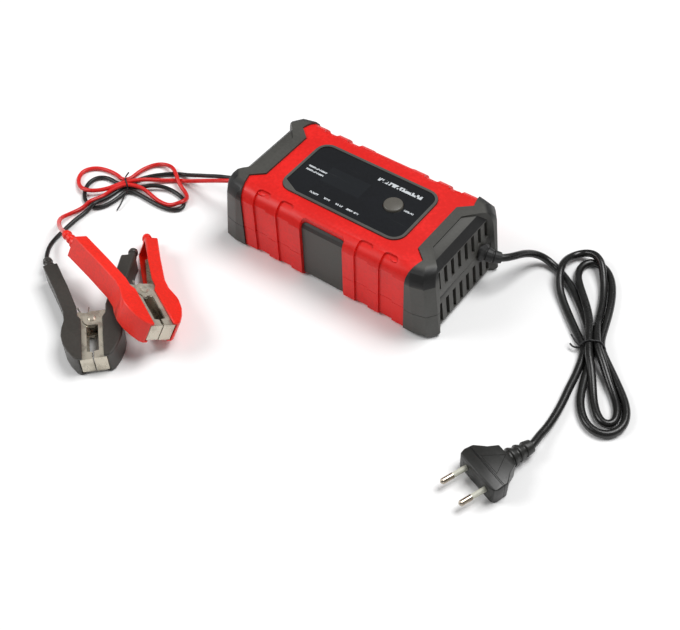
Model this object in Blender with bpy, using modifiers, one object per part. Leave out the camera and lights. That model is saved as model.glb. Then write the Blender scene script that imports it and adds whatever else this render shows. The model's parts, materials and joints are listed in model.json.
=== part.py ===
"""Car battery charger: a red and grey case with a mains lead, a plug and two battery clamps.

Metres, +Z up. The origin is on the floor under the middle of the case. The mains lead leaves
the case at +X, the battery leads leave it at -X, and the mode button is on top.
"""
import math
from dataclasses import dataclass

import bmesh
import bpy
from mathutils import Matrix, Vector

# ---------------------------------------------------------------- fits
GAP = 0.0003            # between pieces that touch
SLIDE_GAP = 0.0004      # round pieces that slide or turn

# ---------------------------------------------------------------- case
CASE_LENGTH = 0.186
CASE_WIDTH = 0.095
CASE_HEIGHT = 0.057
SEAM_HEIGHT = 0.021
END_SEAM_HEIGHT = 0.0275  # the seam steps up across the slotted end faces
END_LEAN = 0.11         # how far the ends lean in, per metre of height
BASE_CHAMFER = 0.0025
SHOULDER_HEIGHT = 0.011   # how much of the height the rounded shoulders of the long sides take
SHOULDER_WIDTH = 0.011
CORNER_LENGTH = 0.0145  # the two facets of each upright corner
CORNER_BREAK = 0.005
CORNER_DEPTH = 0.0092
CORNER_FLAT = 0.0023
RED_INSET = 0.0012      # the red covers sit this far inside the grey caps
WALL = 0.0028
FLOOR_WALL = 0.0025
CEILING_WALL = 0.0032
CAVITY_CORNER = 0.0085    # the cut-off corners of the hollow inside, and how it narrows to the ceiling
CAVITY_TAPER_X, CAVITY_TAPER_Y = 0.0115, 0.0045
HALF_LENGTH, HALF_WIDTH = CASE_LENGTH / 2, CASE_WIDTH / 2
SHOULDER_START = CASE_HEIGHT - SHOULDER_HEIGHT
ABOVE, BELOW = CASE_HEIGHT + 0.010, -0.010   # where cutters end, clear of the case

# boundary between red cover and grey cap, in plan
EAR_INNER_X, EAR_INNER_Y = HALF_LENGTH - 0.0290, HALF_WIDTH - 0.0241
EAR_OUTER_X, EAR_OUTER_Y = HALF_LENGTH - 0.0201, HALF_WIDTH - 0.0164
CAP_SIDE_X = HALF_LENGTH - 0.0240

# recess of each end
RECESS_DEPTH = 0.0035
RECESS_STEP = 0.0011
RECESS_ROOF_X, RECESS_ROOF_Y = HALF_LENGTH - 0.0212, HALF_WIDTH - 0.0300
RECESS_EDGE_X, RECESS_EDGE_Y = HALF_LENGTH - 0.0140, HALF_WIDTH - 0.0218
RECESS_EDGE_Z = CASE_HEIGHT - 0.0020
RECESS_LIP_Y = HALF_WIDTH - 0.0165
RECESS_CORNER_Y = HALF_WIDTH - 0.0130
RECESS_FACE_TOP = CASE_HEIGHT - 0.0070
RECESS_FACE_BOTTOM = 0.0040
SEAM_STEP_MARGIN = 0.0012  # between the raised part of the seam and the recess's corners
SEAM_STEP_OVERLAP = 0.0040

# ventilation slots
SLOT_MARGIN = 0.0122      # at each end of a row
SLOT_PITCH = 0.0084
SLOT_COUNT = int((CASE_WIDTH - 2 * SLOT_MARGIN) / SLOT_PITCH)
SLOT_WIDTH = 0.0036
SLOT_UPPER = (0.0340, RECESS_FACE_TOP - 0.0010)
SLOT_LOWER = (0.0050, 0.0215)

# shallow upright pockets in the long sides
POCKET_CENTRES = (CAP_SIDE_X - 0.0357, CAP_SIDE_X - 0.0157)
POCKET_WIDTH = 0.0112
POCKET_DEPTH = 0.0013
POCKET_TOP_Y = HALF_WIDTH - 0.0107
POCKET_CORNER = 0.0030

# side windows and their grips
WINDOW_WIDTH = 0.0360
WINDOW_TOP_Y = HALF_WIDTH - 0.0063
GRIP_DEPTH = 0.0023
GRIP_WALL = 0.0018

# top panel
PANEL_LENGTH = CASE_LENGTH - 2 * 0.0421
PANEL_WIDTH = CASE_WIDTH - 2 * 0.0198
PANEL_CORNER = 0.0100
PANEL_RIM = 0.0020
PANEL_POCKET = 0.0012
RIM_RISE = 0.0010
FILM_THICKNESS = 0.0013
FILM_CUT_X, FILM_CUT_Y = 0.0130, 0.0062
DISPLAY_CENTRE = (-0.0115, 0.0020)
DISPLAY_HALF_LENGTH, DISPLAY_HALF_WIDTH = 0.0160, 0.0060

# mode button and its switch
BUTTON_RADIUS = 0.0070
BUTTON_CENTRE = (0.0275, 0.0010)
BUTTON_RISE = 0.0016
BUTTON_TRAVEL = 0.0008
BUTTON_FLANGE = 0.0014
BUTTON_FLANGE_HEIGHT = 0.0011
PLUNGER_RADIUS = 0.0017
SWITCH_SIZE = 0.0062
SWITCH_HEIGHT = 0.0026
SWITCH_FLOOR = 0.0003

# boards and what stands on them
BOARD_THICKNESS = 0.0016
BOARD_CLEARANCE = 0.0004
MAIN_BOARD_X = 0.0040
MAIN_BOARD_HEIGHT = 0.0080
DISPLAY_BOARD_SIZE = (PANEL_LENGTH - 0.0058, PANEL_WIDTH - 0.0114)
POST_RADIUS = 0.0030
POST_INSET = 0.0060
SCREW_X, SCREW_Y = HALF_LENGTH - 0.0370, HALF_WIDTH - 0.0115
SCREW_RADIUS = 0.0015
SCREW_HEAD_RADIUS = 0.0029
SCREW_HEAD_HEIGHT = 0.0020
SCREW_HEAD_DEPTH = 0.0060
SCREW_LENGTH = 0.0280
BOSS_RADIUS = 0.0046
MAIN_BOARD_SIZE = (CASE_LENGTH - 0.0460, 2 * (SCREW_Y - BOSS_RADIUS - BOARD_CLEARANCE))

# cooling fan
FAN_SIZE = 0.0400
FAN_DEPTH = 0.0100
FAN_GLAND_GAP = 0.0004
FAN_BORE_RADIUS = 0.0188
FAN_HUB_RADIUS = 0.0090
FAN_BLADE_COUNT = 7
FAN_BLADE_ANGLE = math.radians(38)

# leads
MAINS_CORD_RADIUS = 0.0027
BATTERY_WIRE_RADIUS = 0.0014
MAINS_GLAND_Y, BATTERY_GLAND_Y = HALF_WIDTH - 0.0250, 0.0295 - HALF_WIDTH
GLAND_NECK_RADIUS = 0.0048
GLAND_FLANGE_RADIUS = 0.0068
GLAND_INSIDE = 0.0085
END_WALL_X = HALF_LENGTH - RECESS_DEPTH - END_LEAN * END_SEAM_HEIGHT
FAN_X = FAN_DEPTH / 2 + FAN_GLAND_GAP + GLAND_INSIDE - END_WALL_X
FAN_Y, FAN_Z = HALF_WIDTH - 0.0335, 0.0245
MAINS_BOOT_LENGTH = 0.0145
MAINS_BOOT_BEND = math.radians(38)
MAINS_BOOT_DROOP = 0.35   # how far the bent boot falls for each step it goes sideways
BATTERY_BOOT_LENGTH = 0.0110
BATTERY_BOOT_BEND = math.radians(12)
CORD_END_GAP = 0.30       # share of its radius by which a lead's flat end clears a boot's tip

# plug
PLUG_WIDTH = 0.0353
PLUG_THICKNESS = 0.0137
PLUG_GRIP_LENGTH = 0.0240
PLUG_BOOT_LENGTH = 0.0190
PIN_LENGTH = 0.0190
PIN_RADIUS = 0.0020
PIN_SLEEVE_LENGTH = 0.0100
PIN_SLEEVE_RADIUS = 0.0018
PIN_ROOT = 0.0060
PIN_SPACING = 0.0186
PLUG_FRONT = Vector((0.1749, -0.1252, 0.0070))
PLUG_TURN = math.radians(-111.0)

# clamps, in each clamp's own frame: pivot at the origin, nose towards +X
CLAMP_NOSE = 0.0360
CLAMP_COVER_HEIGHT = 0.0172
CLAMP_COVER_WALL = 0.0016
CLAMP_HANDLE_END = 0.0550
JAW_HEIGHT = 0.0132
JAW_SHEET = 0.0012
JAW_EAR_RADIUS = 0.0064
RIVET_RADIUS = 0.0016
RIVET_HEAD_RADIUS = 0.0029
RIVET_HEAD_HEIGHT = 0.0009
SPRING_RADIUS = 0.0033
SPRING_WIRE_RADIUS = 0.00055
SPRING_TURNS = 4
SPRING_STEPS = 8
CLAMP_BOOT_LENGTH = 0.0120
CLAMP_BOOT_RADIUS = 0.0042
CLAMP_BOOT_LEAN = math.radians(16)

RED = (0.72, 0.012, 0.008)
GREY = (0.075, 0.073, 0.066)
BLACK = (0.020, 0.020, 0.021)
NICKEL = (0.62, 0.56, 0.44)

# ---------------------------------------------------------------- collections


def fresh_collections():
    """Empty the scene and return the model's and the cutters' collections."""
    for old in list(bpy.data.objects):
        bpy.data.objects.remove(old)
    groups = []
    for title in ("battery_charger", "cutters"):
        group = bpy.data.collections.new(title)
        bpy.context.scene.collection.children.link(group)
        groups.append(group)
    return groups


MODEL, CUTTERS = fresh_collections()

# ---------------------------------------------------------------- shape helpers


def put(data, name, finish=None):
    """Make an object of the data: a piece where it has a finish, otherwise a cutter."""
    item = bpy.data.objects.new(name, data)
    (MODEL if finish else CUTTERS).objects.link(item)
    if finish:
        data.materials.append(material(name, *finish))
    else:
        item.hide_render = True
        item.display_type = "WIRE"
    return item


def material(name, colour, roughness=0.5, metallic=0.0):
    """The piece's own plain finish."""
    made = bpy.data.materials.new(name + "_finish")
    made.use_nodes = True
    shader = made.node_tree.nodes["Principled BSDF"]
    shader.inputs["Base Color"].default_value = (*colour, 1.0)
    shader.inputs["Roughness"].default_value = roughness
    shader.inputs["Metallic"].default_value = metallic
    return made


def mesh_of(build, name):
    """A mesh made by the given bmesh function."""
    work = bmesh.new()
    build(work)
    bmesh.ops.recalc_face_normals(work, faces=work.faces)
    data = bpy.data.meshes.new(name)
    work.to_mesh(data)
    work.free()
    return data


def box(name, low, high, finish=None):
    """A box between two corners."""
    size = Vector(high) - Vector(low)
    centre = (Vector(high) + Vector(low)) / 2

    def build(work):
        bmesh.ops.create_cube(work, size=1.0, matrix=Matrix.Diagonal((*size, 1.0)))

    item = put(mesh_of(build, name), name, finish)
    item.location = centre
    return item


def cylinders(name, places, radius, low, high, sides=20, finish=None):
    """Upright cylinders at the given plan places, all in one mesh."""
    def build(work):
        for x, y in places:
            bmesh.ops.create_cone(work, cap_ends=True, segments=sides, radius1=radius, radius2=radius,
                                  depth=high - low, matrix=Matrix.Translation((x, y, (low + high) / 2)))

    item = put(mesh_of(build, name), name, finish)
    round_shading(item)
    return item


def round_shading(item, angle=35):
    """Smooth shading with sharp edges above the angle."""
    item.data.shade_smooth()
    item.data.set_sharp_from_angle(angle=math.radians(angle))


def to_mesh(item, name, finish):
    """Turn a curve object into a welded mesh object, so that it can be cut."""
    bpy.context.view_layer.update()
    data = bpy.data.meshes.new_from_object(item.evaluated_get(bpy.context.evaluated_depsgraph_get()))
    work = bmesh.new()
    work.from_mesh(data)
    bmesh.ops.remove_doubles(work, verts=work.verts, dist=0.000002)
    bmesh.ops.recalc_face_normals(work, faces=work.faces)
    work.to_mesh(data)
    work.free()
    data.materials.clear()
    place = item.matrix_world.copy()
    bpy.data.objects.remove(item)
    made = put(data, name, finish)
    made.matrix_world = place
    return made


def plate(name, outlines, low, high, finish=None):
    """A flat piece with upright walls: the first outline is its edge, any others are holes."""
    curve = bpy.data.curves.new(name, "CURVE")
    curve.dimensions = "2D"
    curve.fill_mode = "BOTH"
    curve.extrude = (high - low) / 2
    for outline in outlines:
        line = curve.splines.new("POLY")
        line.points.add(len(outline) - 1)
        for point, (x, y) in zip(line.points, outline):
            point.co = (x, y, 0.0, 1.0)
        line.use_cyclic_u = True
    flat = put(curve, name + "_outline")
    flat.location = (0.0, 0.0, (low + high) / 2)
    return to_mesh(flat, name, finish)


def side_plate(name, outline, half_width, finish=None):
    """A piece with the given outline in X and Z, spread evenly to both sides of Y."""
    made = plate(name, [outline], -half_width, half_width, finish)
    made.data.transform(Matrix.Rotation(math.pi / 2, 4, "X") @ Matrix.Translation(made.location))
    made.location = (0.0, 0.0, 0.0)
    return made


def turned(name, profile, finish=None, steps=16, closed=False):
    """A turned piece about Z: the profile lists radius and height, from top to bottom or once round."""
    edges = [(i, i + 1) for i in range(len(profile) - 1)]
    if closed:
        edges.append((len(profile) - 1, 0))
    data = bpy.data.meshes.new(name)
    data.from_pydata([(radius, 0.0, height) for radius, height in profile], edges, [])
    item = put(data, name, finish)
    turn = item.modifiers.new("turn", "SCREW")
    turn.axis = "Z"
    turn.steps = turn.render_steps = steps
    turn.use_merge_vertices = True
    turn.merge_threshold = 0.00001
    turn.use_smooth_shade = False
    return item


def tube(name, points, radius, finish, resolution=3, smooth=True, spacing=None):
    """A round wire through the points, closed at both ends."""
    route = smooth_route(points, spacing) if smooth else points
    curve = bpy.data.curves.new(name, "CURVE")
    curve.dimensions = "3D"
    curve.bevel_depth = radius
    curve.bevel_resolution = resolution
    curve.use_fill_caps = True
    line = curve.splines.new("POLY")
    line.points.add(len(route) - 1)
    for point, place in zip(line.points, route):
        point.co = (*place, 1.0)
    return put(curve, name, finish)


def smooth_route(points, spacing):
    """Points at an even spacing along a smooth curve through the given points."""
    knots = [Vector(p) for p in points]
    knots = [2 * knots[0] - knots[1]] + knots + [2 * knots[-1] - knots[-2]]
    fine = []
    for a, b, c, d in zip(knots, knots[1:], knots[2:], knots[3:]):
        for step in range(16):
            t = step / 16
            fine.append(0.5 * (2 * b + (c - a) * t + (2 * a - 5 * b + 4 * c - d) * t ** 2
                               + (3 * b - a - 3 * c + d) * t ** 3))
    fine.append(knots[-2])
    lengths = [0.0]
    for a, b in zip(fine, fine[1:]):
        lengths.append(lengths[-1] + (b - a).length)
    count = max(2, round(lengths[-1] / spacing))
    route = []
    index = 0
    for step in range(count + 1):
        goal = lengths[-1] * step / count
        while index < len(fine) - 2 and lengths[index + 1] < goal:
            index += 1
        share = (goal - lengths[index]) / (lengths[index + 1] - lengths[index])
        route.append(fine[index].lerp(fine[index + 1], share))
    return route


def loft(name, levels, finish=None):
    """A closed body through plan outlines with equal point counts, one for each height."""
    def build(work):
        rings = []
        for height, outline in levels:
            corners = [work.verts.new((x, y, height)) for x, y in outline]
            rings.append([work.edges.new((a, b)) for a, b in zip(corners, corners[1:] + corners[:1])])
        for lower, upper in zip(rings, rings[1:]):
            bmesh.ops.bridge_loops(work, edges=lower + upper)
        for ring in (rings[0], rings[-1]):
            bmesh.ops.contextual_create(work, geom=ring)

    return put(mesh_of(build, name), name, finish)


def cut(item, *cutters, operation="DIFFERENCE"):
    """Cut, join or clip the item with each of the cutters."""
    for cutter in cutters:
        change = item.modifiers.new(cutter.name, "BOOLEAN")
        change.operation = operation
        change.object = cutter
    return item


def soften(item, width, segments=2, angle=40):
    """Rounded edges."""
    edges = item.modifiers.new("soften", "BEVEL")
    edges.width = width
    edges.segments = segments
    edges.limit_method = "ANGLE"
    edges.angle_limit = math.radians(angle)
    return item


def arc(cx, cy, radius, start, end, steps):
    """Points on an arc, by angles in degrees."""
    return [(cx + radius * math.cos(math.radians(start + (end - start) * i / steps)),
             cy + radius * math.sin(math.radians(start + (end - start) * i / steps)))
            for i in range(steps + 1)]


def rounded_rectangle(cx, cy, length, width, radius, steps=4):
    """Outline of a rectangle with round corners, anticlockwise."""
    outline = []
    for sx, sy, start in ((1, 1, 0), (-1, 1, 90), (-1, -1, 180), (1, -1, 270)):
        outline += arc(cx + sx * (length / 2 - radius), cy + sy * (width / 2 - radius), radius,
                       start, start + 90, steps)
    return outline


def four_ways(quarter):
    """Complete an outline from its points in the first quarter, anticlockwise."""
    return (quarter + [(-x, y) for x, y in reversed(quarter)] + [(-x, -y) for x, y in quarter]
            + [(x, -y) for x, y in reversed(quarter)])


# ---------------------------------------------------------------- case


def case_outline(height, inset_x=0.0, inset_y=0.0):
    """Plan of the case at a height, with its faceted corners."""
    x = CASE_LENGTH / 2 - END_LEAN * height - inset_x
    y = CASE_WIDTH / 2 - inset_y
    return four_ways([(x, y - CORNER_DEPTH), (x - CORNER_BREAK, y - CORNER_FLAT), (x - CORNER_LENGTH, y)])


def case_body(name, inset):
    """The outer shape of the case, made smaller all round by the inset, with a flat underside."""
    rise = CASE_HEIGHT - inset - SHOULDER_START
    levels = [(0.0, BASE_CHAMFER, BASE_CHAMFER), (BASE_CHAMFER, 0.0, 0.0)]
    for degrees in (0, 25, 50, 72, 90):
        turn = math.radians(degrees)
        levels.append((SHOULDER_START + rise * math.sin(turn), SHOULDER_WIDTH * 0.4 * (1 - math.cos(turn)),
                       SHOULDER_WIDTH * (1 - math.cos(turn))))
    return loft(name, [(z, case_outline(z, dx + inset, dy + inset)) for z, dx, dy in levels])


def case_cavity():
    """The hollow inside the case."""
    end = CASE_LENGTH / 2 - RECESS_DEPTH - WALL
    side = CASE_WIDTH / 2 - RED_INSET - WALL
    ceiling = CASE_HEIGHT - RED_INSET - CEILING_WALL
    levels = []
    for z, dx, dy in ((FLOOR_WALL, 0.0, 0.0), (RECESS_FACE_TOP - WALL, 0.0, 0.0),
                      (ceiling, CAVITY_TAPER_X, CAVITY_TAPER_Y)):
        x = end - END_LEAN * z - dx
        levels.append((z, four_ways([(x, side - dy - CAVITY_CORNER), (x - CAVITY_CORNER, side - dy)])))
    return loft("cavity", levels)


def recess_cutters():
    """The sunken middle of both ends: a plan shape clipped by a side shape."""
    face = CASE_LENGTH / 2 - RECESS_DEPTH
    roof = CASE_HEIGHT - RECESS_STEP
    lip = face - END_LEAN * RECESS_FACE_TOP
    clear = CASE_LENGTH / 2 + 0.007
    made = []
    for side, title in ((1, "recess_mains"), (-1, "recess_battery")):
        plan = [(RECESS_ROOF_X, -RECESS_ROOF_Y), (RECESS_EDGE_X, -RECESS_EDGE_Y), (lip, -RECESS_LIP_Y),
                (face, -RECESS_CORNER_Y), (clear, -RECESS_CORNER_Y - 0.0075)]
        plan += [(x, -y) for x, y in reversed(plan)]
        profile = [(RECESS_ROOF_X - 0.001, ABOVE), (RECESS_ROOF_X - 0.001, roof),
                   (RECESS_EDGE_X, RECESS_EDGE_Z), (lip, RECESS_FACE_TOP),
                   (face - END_LEAN * RECESS_FACE_BOTTOM, RECESS_FACE_BOTTOM),
                   (face - BASE_CHAMFER, -0.001), (clear - 0.001, -0.001), (clear - 0.001, ABOVE)]
        cutter = plate(title, [[(side * x, y) for x, y in plan]], -0.002, ABOVE - 0.001)
        clip = side_plate(title + "_profile", [(side * x, z) for x, z in profile], 0.050)
        made.append(cut(cutter, clip, operation="INTERSECT"))
    return made


def region(name, side, low, high):
    """Plan of the red middle (side 0) or of one grey end (side 1 or -1), between two heights."""
    half = GAP / 2
    far = CASE_LENGTH
    edge = [(EAR_INNER_X, EAR_INNER_Y), (EAR_OUTER_X, EAR_OUTER_Y), (CAP_SIDE_X, CASE_WIDTH / 2),
            (CAP_SIDE_X, CASE_WIDTH)]
    if side == 0:
        return plate(name, [four_ways([(x - half, y) for x, y in edge])], low, high)
    edge = [(x + half, y) for x, y in edge]
    outline = [(x, -y) for x, y in reversed(edge)] + edge + [(far, CASE_WIDTH), (far, -CASE_WIDTH)]
    return plate(name, [[(side * x, y) for x, y in outline]], low, high)


def pocket_cutter():
    """Bands that sink the upright pockets into the long sides."""
    def build(work):
        for centre in POCKET_CENTRES:
            for x in (centre, -centre):
                for side in (1, -1):
                    low = side * POCKET_TOP_Y
                    outline = arc(x - POCKET_WIDTH / 2 + POCKET_CORNER, low + side * POCKET_CORNER,
                                  POCKET_CORNER, 180, 180 + side * 90, 4)
                    outline += arc(x + POCKET_WIDTH / 2 - POCKET_CORNER, low + side * POCKET_CORNER,
                                   POCKET_CORNER, -side * 90, 0, 4)
                    outline += [(x + POCKET_WIDTH / 2, side * CASE_WIDTH), (x - POCKET_WIDTH / 2, side * CASE_WIDTH)]
                    face = work.faces.new([work.verts.new((px, py, -0.002)) for px, py in outline])
                    grown = bmesh.ops.extrude_face_region(work, geom=[face])["geom"]
                    bmesh.ops.translate(work, vec=(0, 0, ABOVE + 0.002),
                                        verts=[g for g in grown if isinstance(g, bmesh.types.BMVert)])

    bands = put(mesh_of(build, "pocket_bands"), "pocket_bands")
    return cut(bands, case_body("pocket_floor", RED_INSET + POCKET_DEPTH))


def window_cutters(width, name):
    """Openings for the side grips, one on each long side."""
    made = []
    for side, title in ((-1, "near"), (1, "far")):
        outline = arc(WINDOW_WIDTH / 2 - POCKET_CORNER, 0, POCKET_CORNER, 90, 0, 4)
        outline = [(x + (width - WINDOW_WIDTH) / 2, -y + POCKET_CORNER) for x, y in outline]
        outline = [(x, y + WINDOW_TOP_Y + (WINDOW_WIDTH - width) / 2) for x, y in outline]
        outline += [(width / 2, CASE_WIDTH)]
        outline = outline + [(-x, y) for x, y in reversed(outline)]
        low = -0.002 if width == WINDOW_WIDTH else GAP
        made.append(plate(f"{name}_{title}", [[(x, side * y) for x, y in outline]], low, ABOVE))
    return made


def slot_cutter(side):
    """Two rows of ventilation slots through one end; the lead's gland takes its room."""
    gland_y = MAINS_GLAND_Y if side > 0 else BATTERY_GLAND_Y
    first = -SLOT_PITCH * (SLOT_COUNT - 1) / 2
    keep = GLAND_FLANGE_RADIUS + 0.0012

    def build(work):
        for index in range(SLOT_COUNT):
            y = first + index * SLOT_PITCH
            beside = abs(y - gland_y) < keep + SLOT_WIDTH / 2
            for low, high, upper in ((*SLOT_UPPER, True), (*SLOT_LOWER, False)):
                if beside and upper:
                    low = max(low, END_SEAM_HEIGHT + keep)
                if beside and not upper:
                    high = min(high, END_SEAM_HEIGHT - keep)
                size = (0.030, SLOT_WIDTH, high - low)
                centre = (side * (CASE_LENGTH / 2 - 0.003), y, (low + high) / 2)
                bmesh.ops.create_cube(work, size=1.0,
                                      matrix=Matrix.Translation(centre) @ Matrix.Diagonal((*size, 1.0)))

    return put(mesh_of(build, "slots"), f"slots_{side}")


def gland_hole(side):
    """The round hole that both halves of an end share around the lead's gland."""
    y = MAINS_GLAND_Y if side > 0 else BATTERY_GLAND_Y
    hole = cylinders(f"gland_hole_{side}", [(0, 0)], GLAND_NECK_RADIUS + GAP, -0.015, 0.015, sides=24)
    hole.rotation_euler = (0, math.pi / 2, 0)
    hole.location = (side * (CASE_LENGTH / 2 - RECESS_DEPTH), y, END_SEAM_HEIGHT)
    return hole


def corners(x, y):
    """The four plan places at plus and minus x and y."""
    return [(sx * x, sy * y) for sx in (1, -1) for sy in (1, -1)]


def board_posts():
    """Plan places of the posts that carry the main board."""
    length, width = MAIN_BOARD_SIZE
    return [(MAIN_BOARD_X + x, y) for x, y in corners(length / 2 - POST_INSET, width / 2 - POST_INSET)]


def make_covers():
    """The red upper and lower covers, with their posts and screw bosses."""
    seam_low, seam_high = SEAM_HEIGHT - GAP / 2, SEAM_HEIGHT + GAP / 2
    ceiling = CASE_HEIGHT - RED_INSET - CEILING_WALL
    cavity = case_cavity()
    pockets = pocket_cutter()
    windows = window_cutters(WINDOW_WIDTH, "window")
    screws = corners(SCREW_X, SCREW_Y)
    finish = (RED, 0.38)

    upper = case_body("red_upper_source", RED_INSET)
    upper = retitle(upper, "red_upper_cover", finish)
    panel = plate("panel_pocket", [rounded_rectangle(0, 0, PANEL_LENGTH + 2 * GAP, PANEL_WIDTH + 2 * GAP,
                                                     PANEL_CORNER + GAP, 6)],
                  CASE_HEIGHT - RED_INSET - PANEL_POCKET, CASE_HEIGHT + 0.002)
    button = cylinders("button_hole", [BUTTON_CENTRE], BUTTON_RADIUS + SLIDE_GAP, SHOULDER_START - 0.001,
                       CASE_HEIGHT + 0.003, 32)
    cx, cy = DISPLAY_CENTRE
    viewer = box("display_hole", (cx - DISPLAY_HALF_LENGTH, cy - DISPLAY_HALF_WIDTH, SHOULDER_START - 0.001),
                 (cx + DISPLAY_HALF_LENGTH, cy + DISPLAY_HALF_WIDTH, CASE_HEIGHT + 0.003))
    boss = cylinders("upper_bosses", screws, BOSS_RADIUS, seam_high + GAP, ceiling + 0.001, 16)
    post = cylinders("display_posts", display_posts(), POST_RADIUS, DISPLAY_BOARD_TOP + GAP, ceiling + 0.001, 12)
    pilot = cylinders("pilot_holes", screws, SCREW_RADIUS + GAP, 0.010,
                      SCREW_HEAD_DEPTH + SCREW_LENGTH + 0.001, 12)
    cut(upper, cavity, pockets, *windows)
    cut(upper, boss, post, operation="UNION")
    cut(upper, region("red_upper_region", 0, seam_high, ABOVE), operation="INTERSECT")
    cut(upper, panel, button, viewer, pilot)

    lower = case_body("red_lower_source", RED_INSET)
    lower = retitle(lower, "red_lower_cover", finish)
    boss = cylinders("lower_bosses", screws, BOSS_RADIUS, FLOOR_WALL - 0.001, seam_low - GAP, 16)
    post = cylinders("board_posts", board_posts(), POST_RADIUS, FLOOR_WALL - 0.001,
                     MAIN_BOARD_HEIGHT - GAP, 12)
    head = cylinders("head_holes", screws, SCREW_HEAD_RADIUS + GAP, -0.002, SCREW_HEAD_DEPTH, 16)
    shank = cylinders("shank_holes", screws, SCREW_RADIUS + GAP, 0.001, 0.030, 12)
    cut(lower, cavity, pockets, *windows)
    cut(lower, boss, post, operation="UNION")
    cut(lower, region("red_lower_region", 0, BELOW, seam_low), operation="INTERSECT")
    cut(lower, head, shank)


def retitle(cutter, name, finish):
    """Make a finished piece of a body that was built as a cutter."""
    data = cutter.data
    bpy.data.objects.remove(cutter)
    return put(data, name, finish)


def make_end_caps():
    """The grey caps of both ends, each with an upper and a lower half."""
    recesses = recess_cutters()
    cavity = case_cavity()
    step = RECESS_CORNER_Y - SEAM_STEP_MARGIN
    near, far = RECESS_EDGE_X, CASE_LENGTH
    for side, title, recess in ((1, "mains", recesses[0]), (-1, "battery", recesses[1])):
        slots, hole = slot_cutter(side), gland_hole(side)
        for half, low, high, grow, change in (
                ("upper", SEAM_HEIGHT + GAP / 2, ABOVE, GAP / 2, "DIFFERENCE"),
                ("lower", BELOW, SEAM_HEIGHT - GAP / 2, -GAP / 2, "UNION")):
            name = f"{half}_cap_{title}"
            cap = retitle(case_body(name + "_source", 0.0), name, (GREY, 0.55))
            share = region(name + "_region", side, low, high)
            xs = sorted((side * (near - grow), side * far))
            tongue = box(name + "_step", (xs[0], -step - grow, SEAM_HEIGHT - SEAM_STEP_OVERLAP),
                         (xs[1], step + grow, END_SEAM_HEIGHT + grow))
            cut(share, tongue, operation=change)
            cut(cap, cavity, recess)
            cut(cap, share, operation="INTERSECT")
            cut(cap, slots, hole)


def make_side_grips():
    """The grey grips in the side windows, curved over the shoulder."""
    grips = window_cutters(WINDOW_WIDTH - 2 * GAP, "grip")
    inner = case_body("grip_back", RED_INSET + GRIP_DEPTH + GRIP_WALL)
    for outline, name in zip(grips, ("side_grip_near", "side_grip_far")):
        grip = retitle(case_body(name + "_source", RED_INSET + GRIP_DEPTH), name, (GREY, 0.5))
        cut(grip, inner)
        cut(grip, outline, operation="INTERSECT")


# ---------------------------------------------------------------- panel and controls

PANEL_FLOOR = CASE_HEIGHT - RED_INSET - PANEL_POCKET
CEILING = CASE_HEIGHT - RED_INSET - CEILING_WALL
FILM_LOW = PANEL_FLOOR + GAP
FILM_TOP = FILM_LOW + FILM_THICKNESS
FLANGE_TOP = CEILING - GAP
FLANGE_LOW = FLANGE_TOP - BUTTON_FLANGE_HEIGHT
PLUNGER_TOP = FLANGE_LOW - GAP
SWITCH_TOP = PLUNGER_TOP - BUTTON_TRAVEL - GAP
DISPLAY_BOARD_TOP = SWITCH_TOP - SWITCH_HEIGHT - GAP
SWITCH_BORE_FLOOR = DISPLAY_BOARD_TOP + GAP + SWITCH_FLOOR
PLUNGER_LOW = SWITCH_BORE_FLOOR + BUTTON_TRAVEL + GAP


def display_posts():
    """Plan places of the posts that carry the display board."""
    length, width = DISPLAY_BOARD_SIZE
    return corners(length / 2 - POST_INSET, width / 2 - POST_INSET)


def make_panel():
    """The rim and the printed film on top, which is clear over the display."""
    outer = rounded_rectangle(0, 0, PANEL_LENGTH, PANEL_WIDTH, PANEL_CORNER, 6)
    length, width = PANEL_LENGTH - 2 * PANEL_RIM, PANEL_WIDTH - 2 * PANEL_RIM
    radius = PANEL_CORNER - PANEL_RIM

    def inner(gap):
        whole = rounded_rectangle(0, 0, length - 2 * gap, width - 2 * gap, radius - gap, 6)
        cut_x, cut_y = -length / 2 + FILM_CUT_X, -width / 2 + FILM_CUT_Y
        kept = [(x, y) for x, y in whole if x > cut_x or y > cut_y]
        place = next(i for i, (x, y) in enumerate(kept) if x > cut_x and y < cut_y)
        return kept[:place] + [(-length / 2 + gap, cut_y), (cut_x, -width / 2 + gap)] + kept[place:]

    plate("panel_rim", [outer, inner(0.0)], FILM_LOW, CASE_HEIGHT - RED_INSET + RIM_RISE, (GREY, 0.45))
    film = plate("panel_film", [inner(GAP)], FILM_LOW, FILM_TOP, ((0.012, 0.016, 0.022), 0.22))
    hole = cylinders("film_hole", [BUTTON_CENTRE], BUTTON_RADIUS + SLIDE_GAP, SHOULDER_START - 0.001,
                       CASE_HEIGHT + 0.003, 32)
    cut(film, hole)


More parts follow.
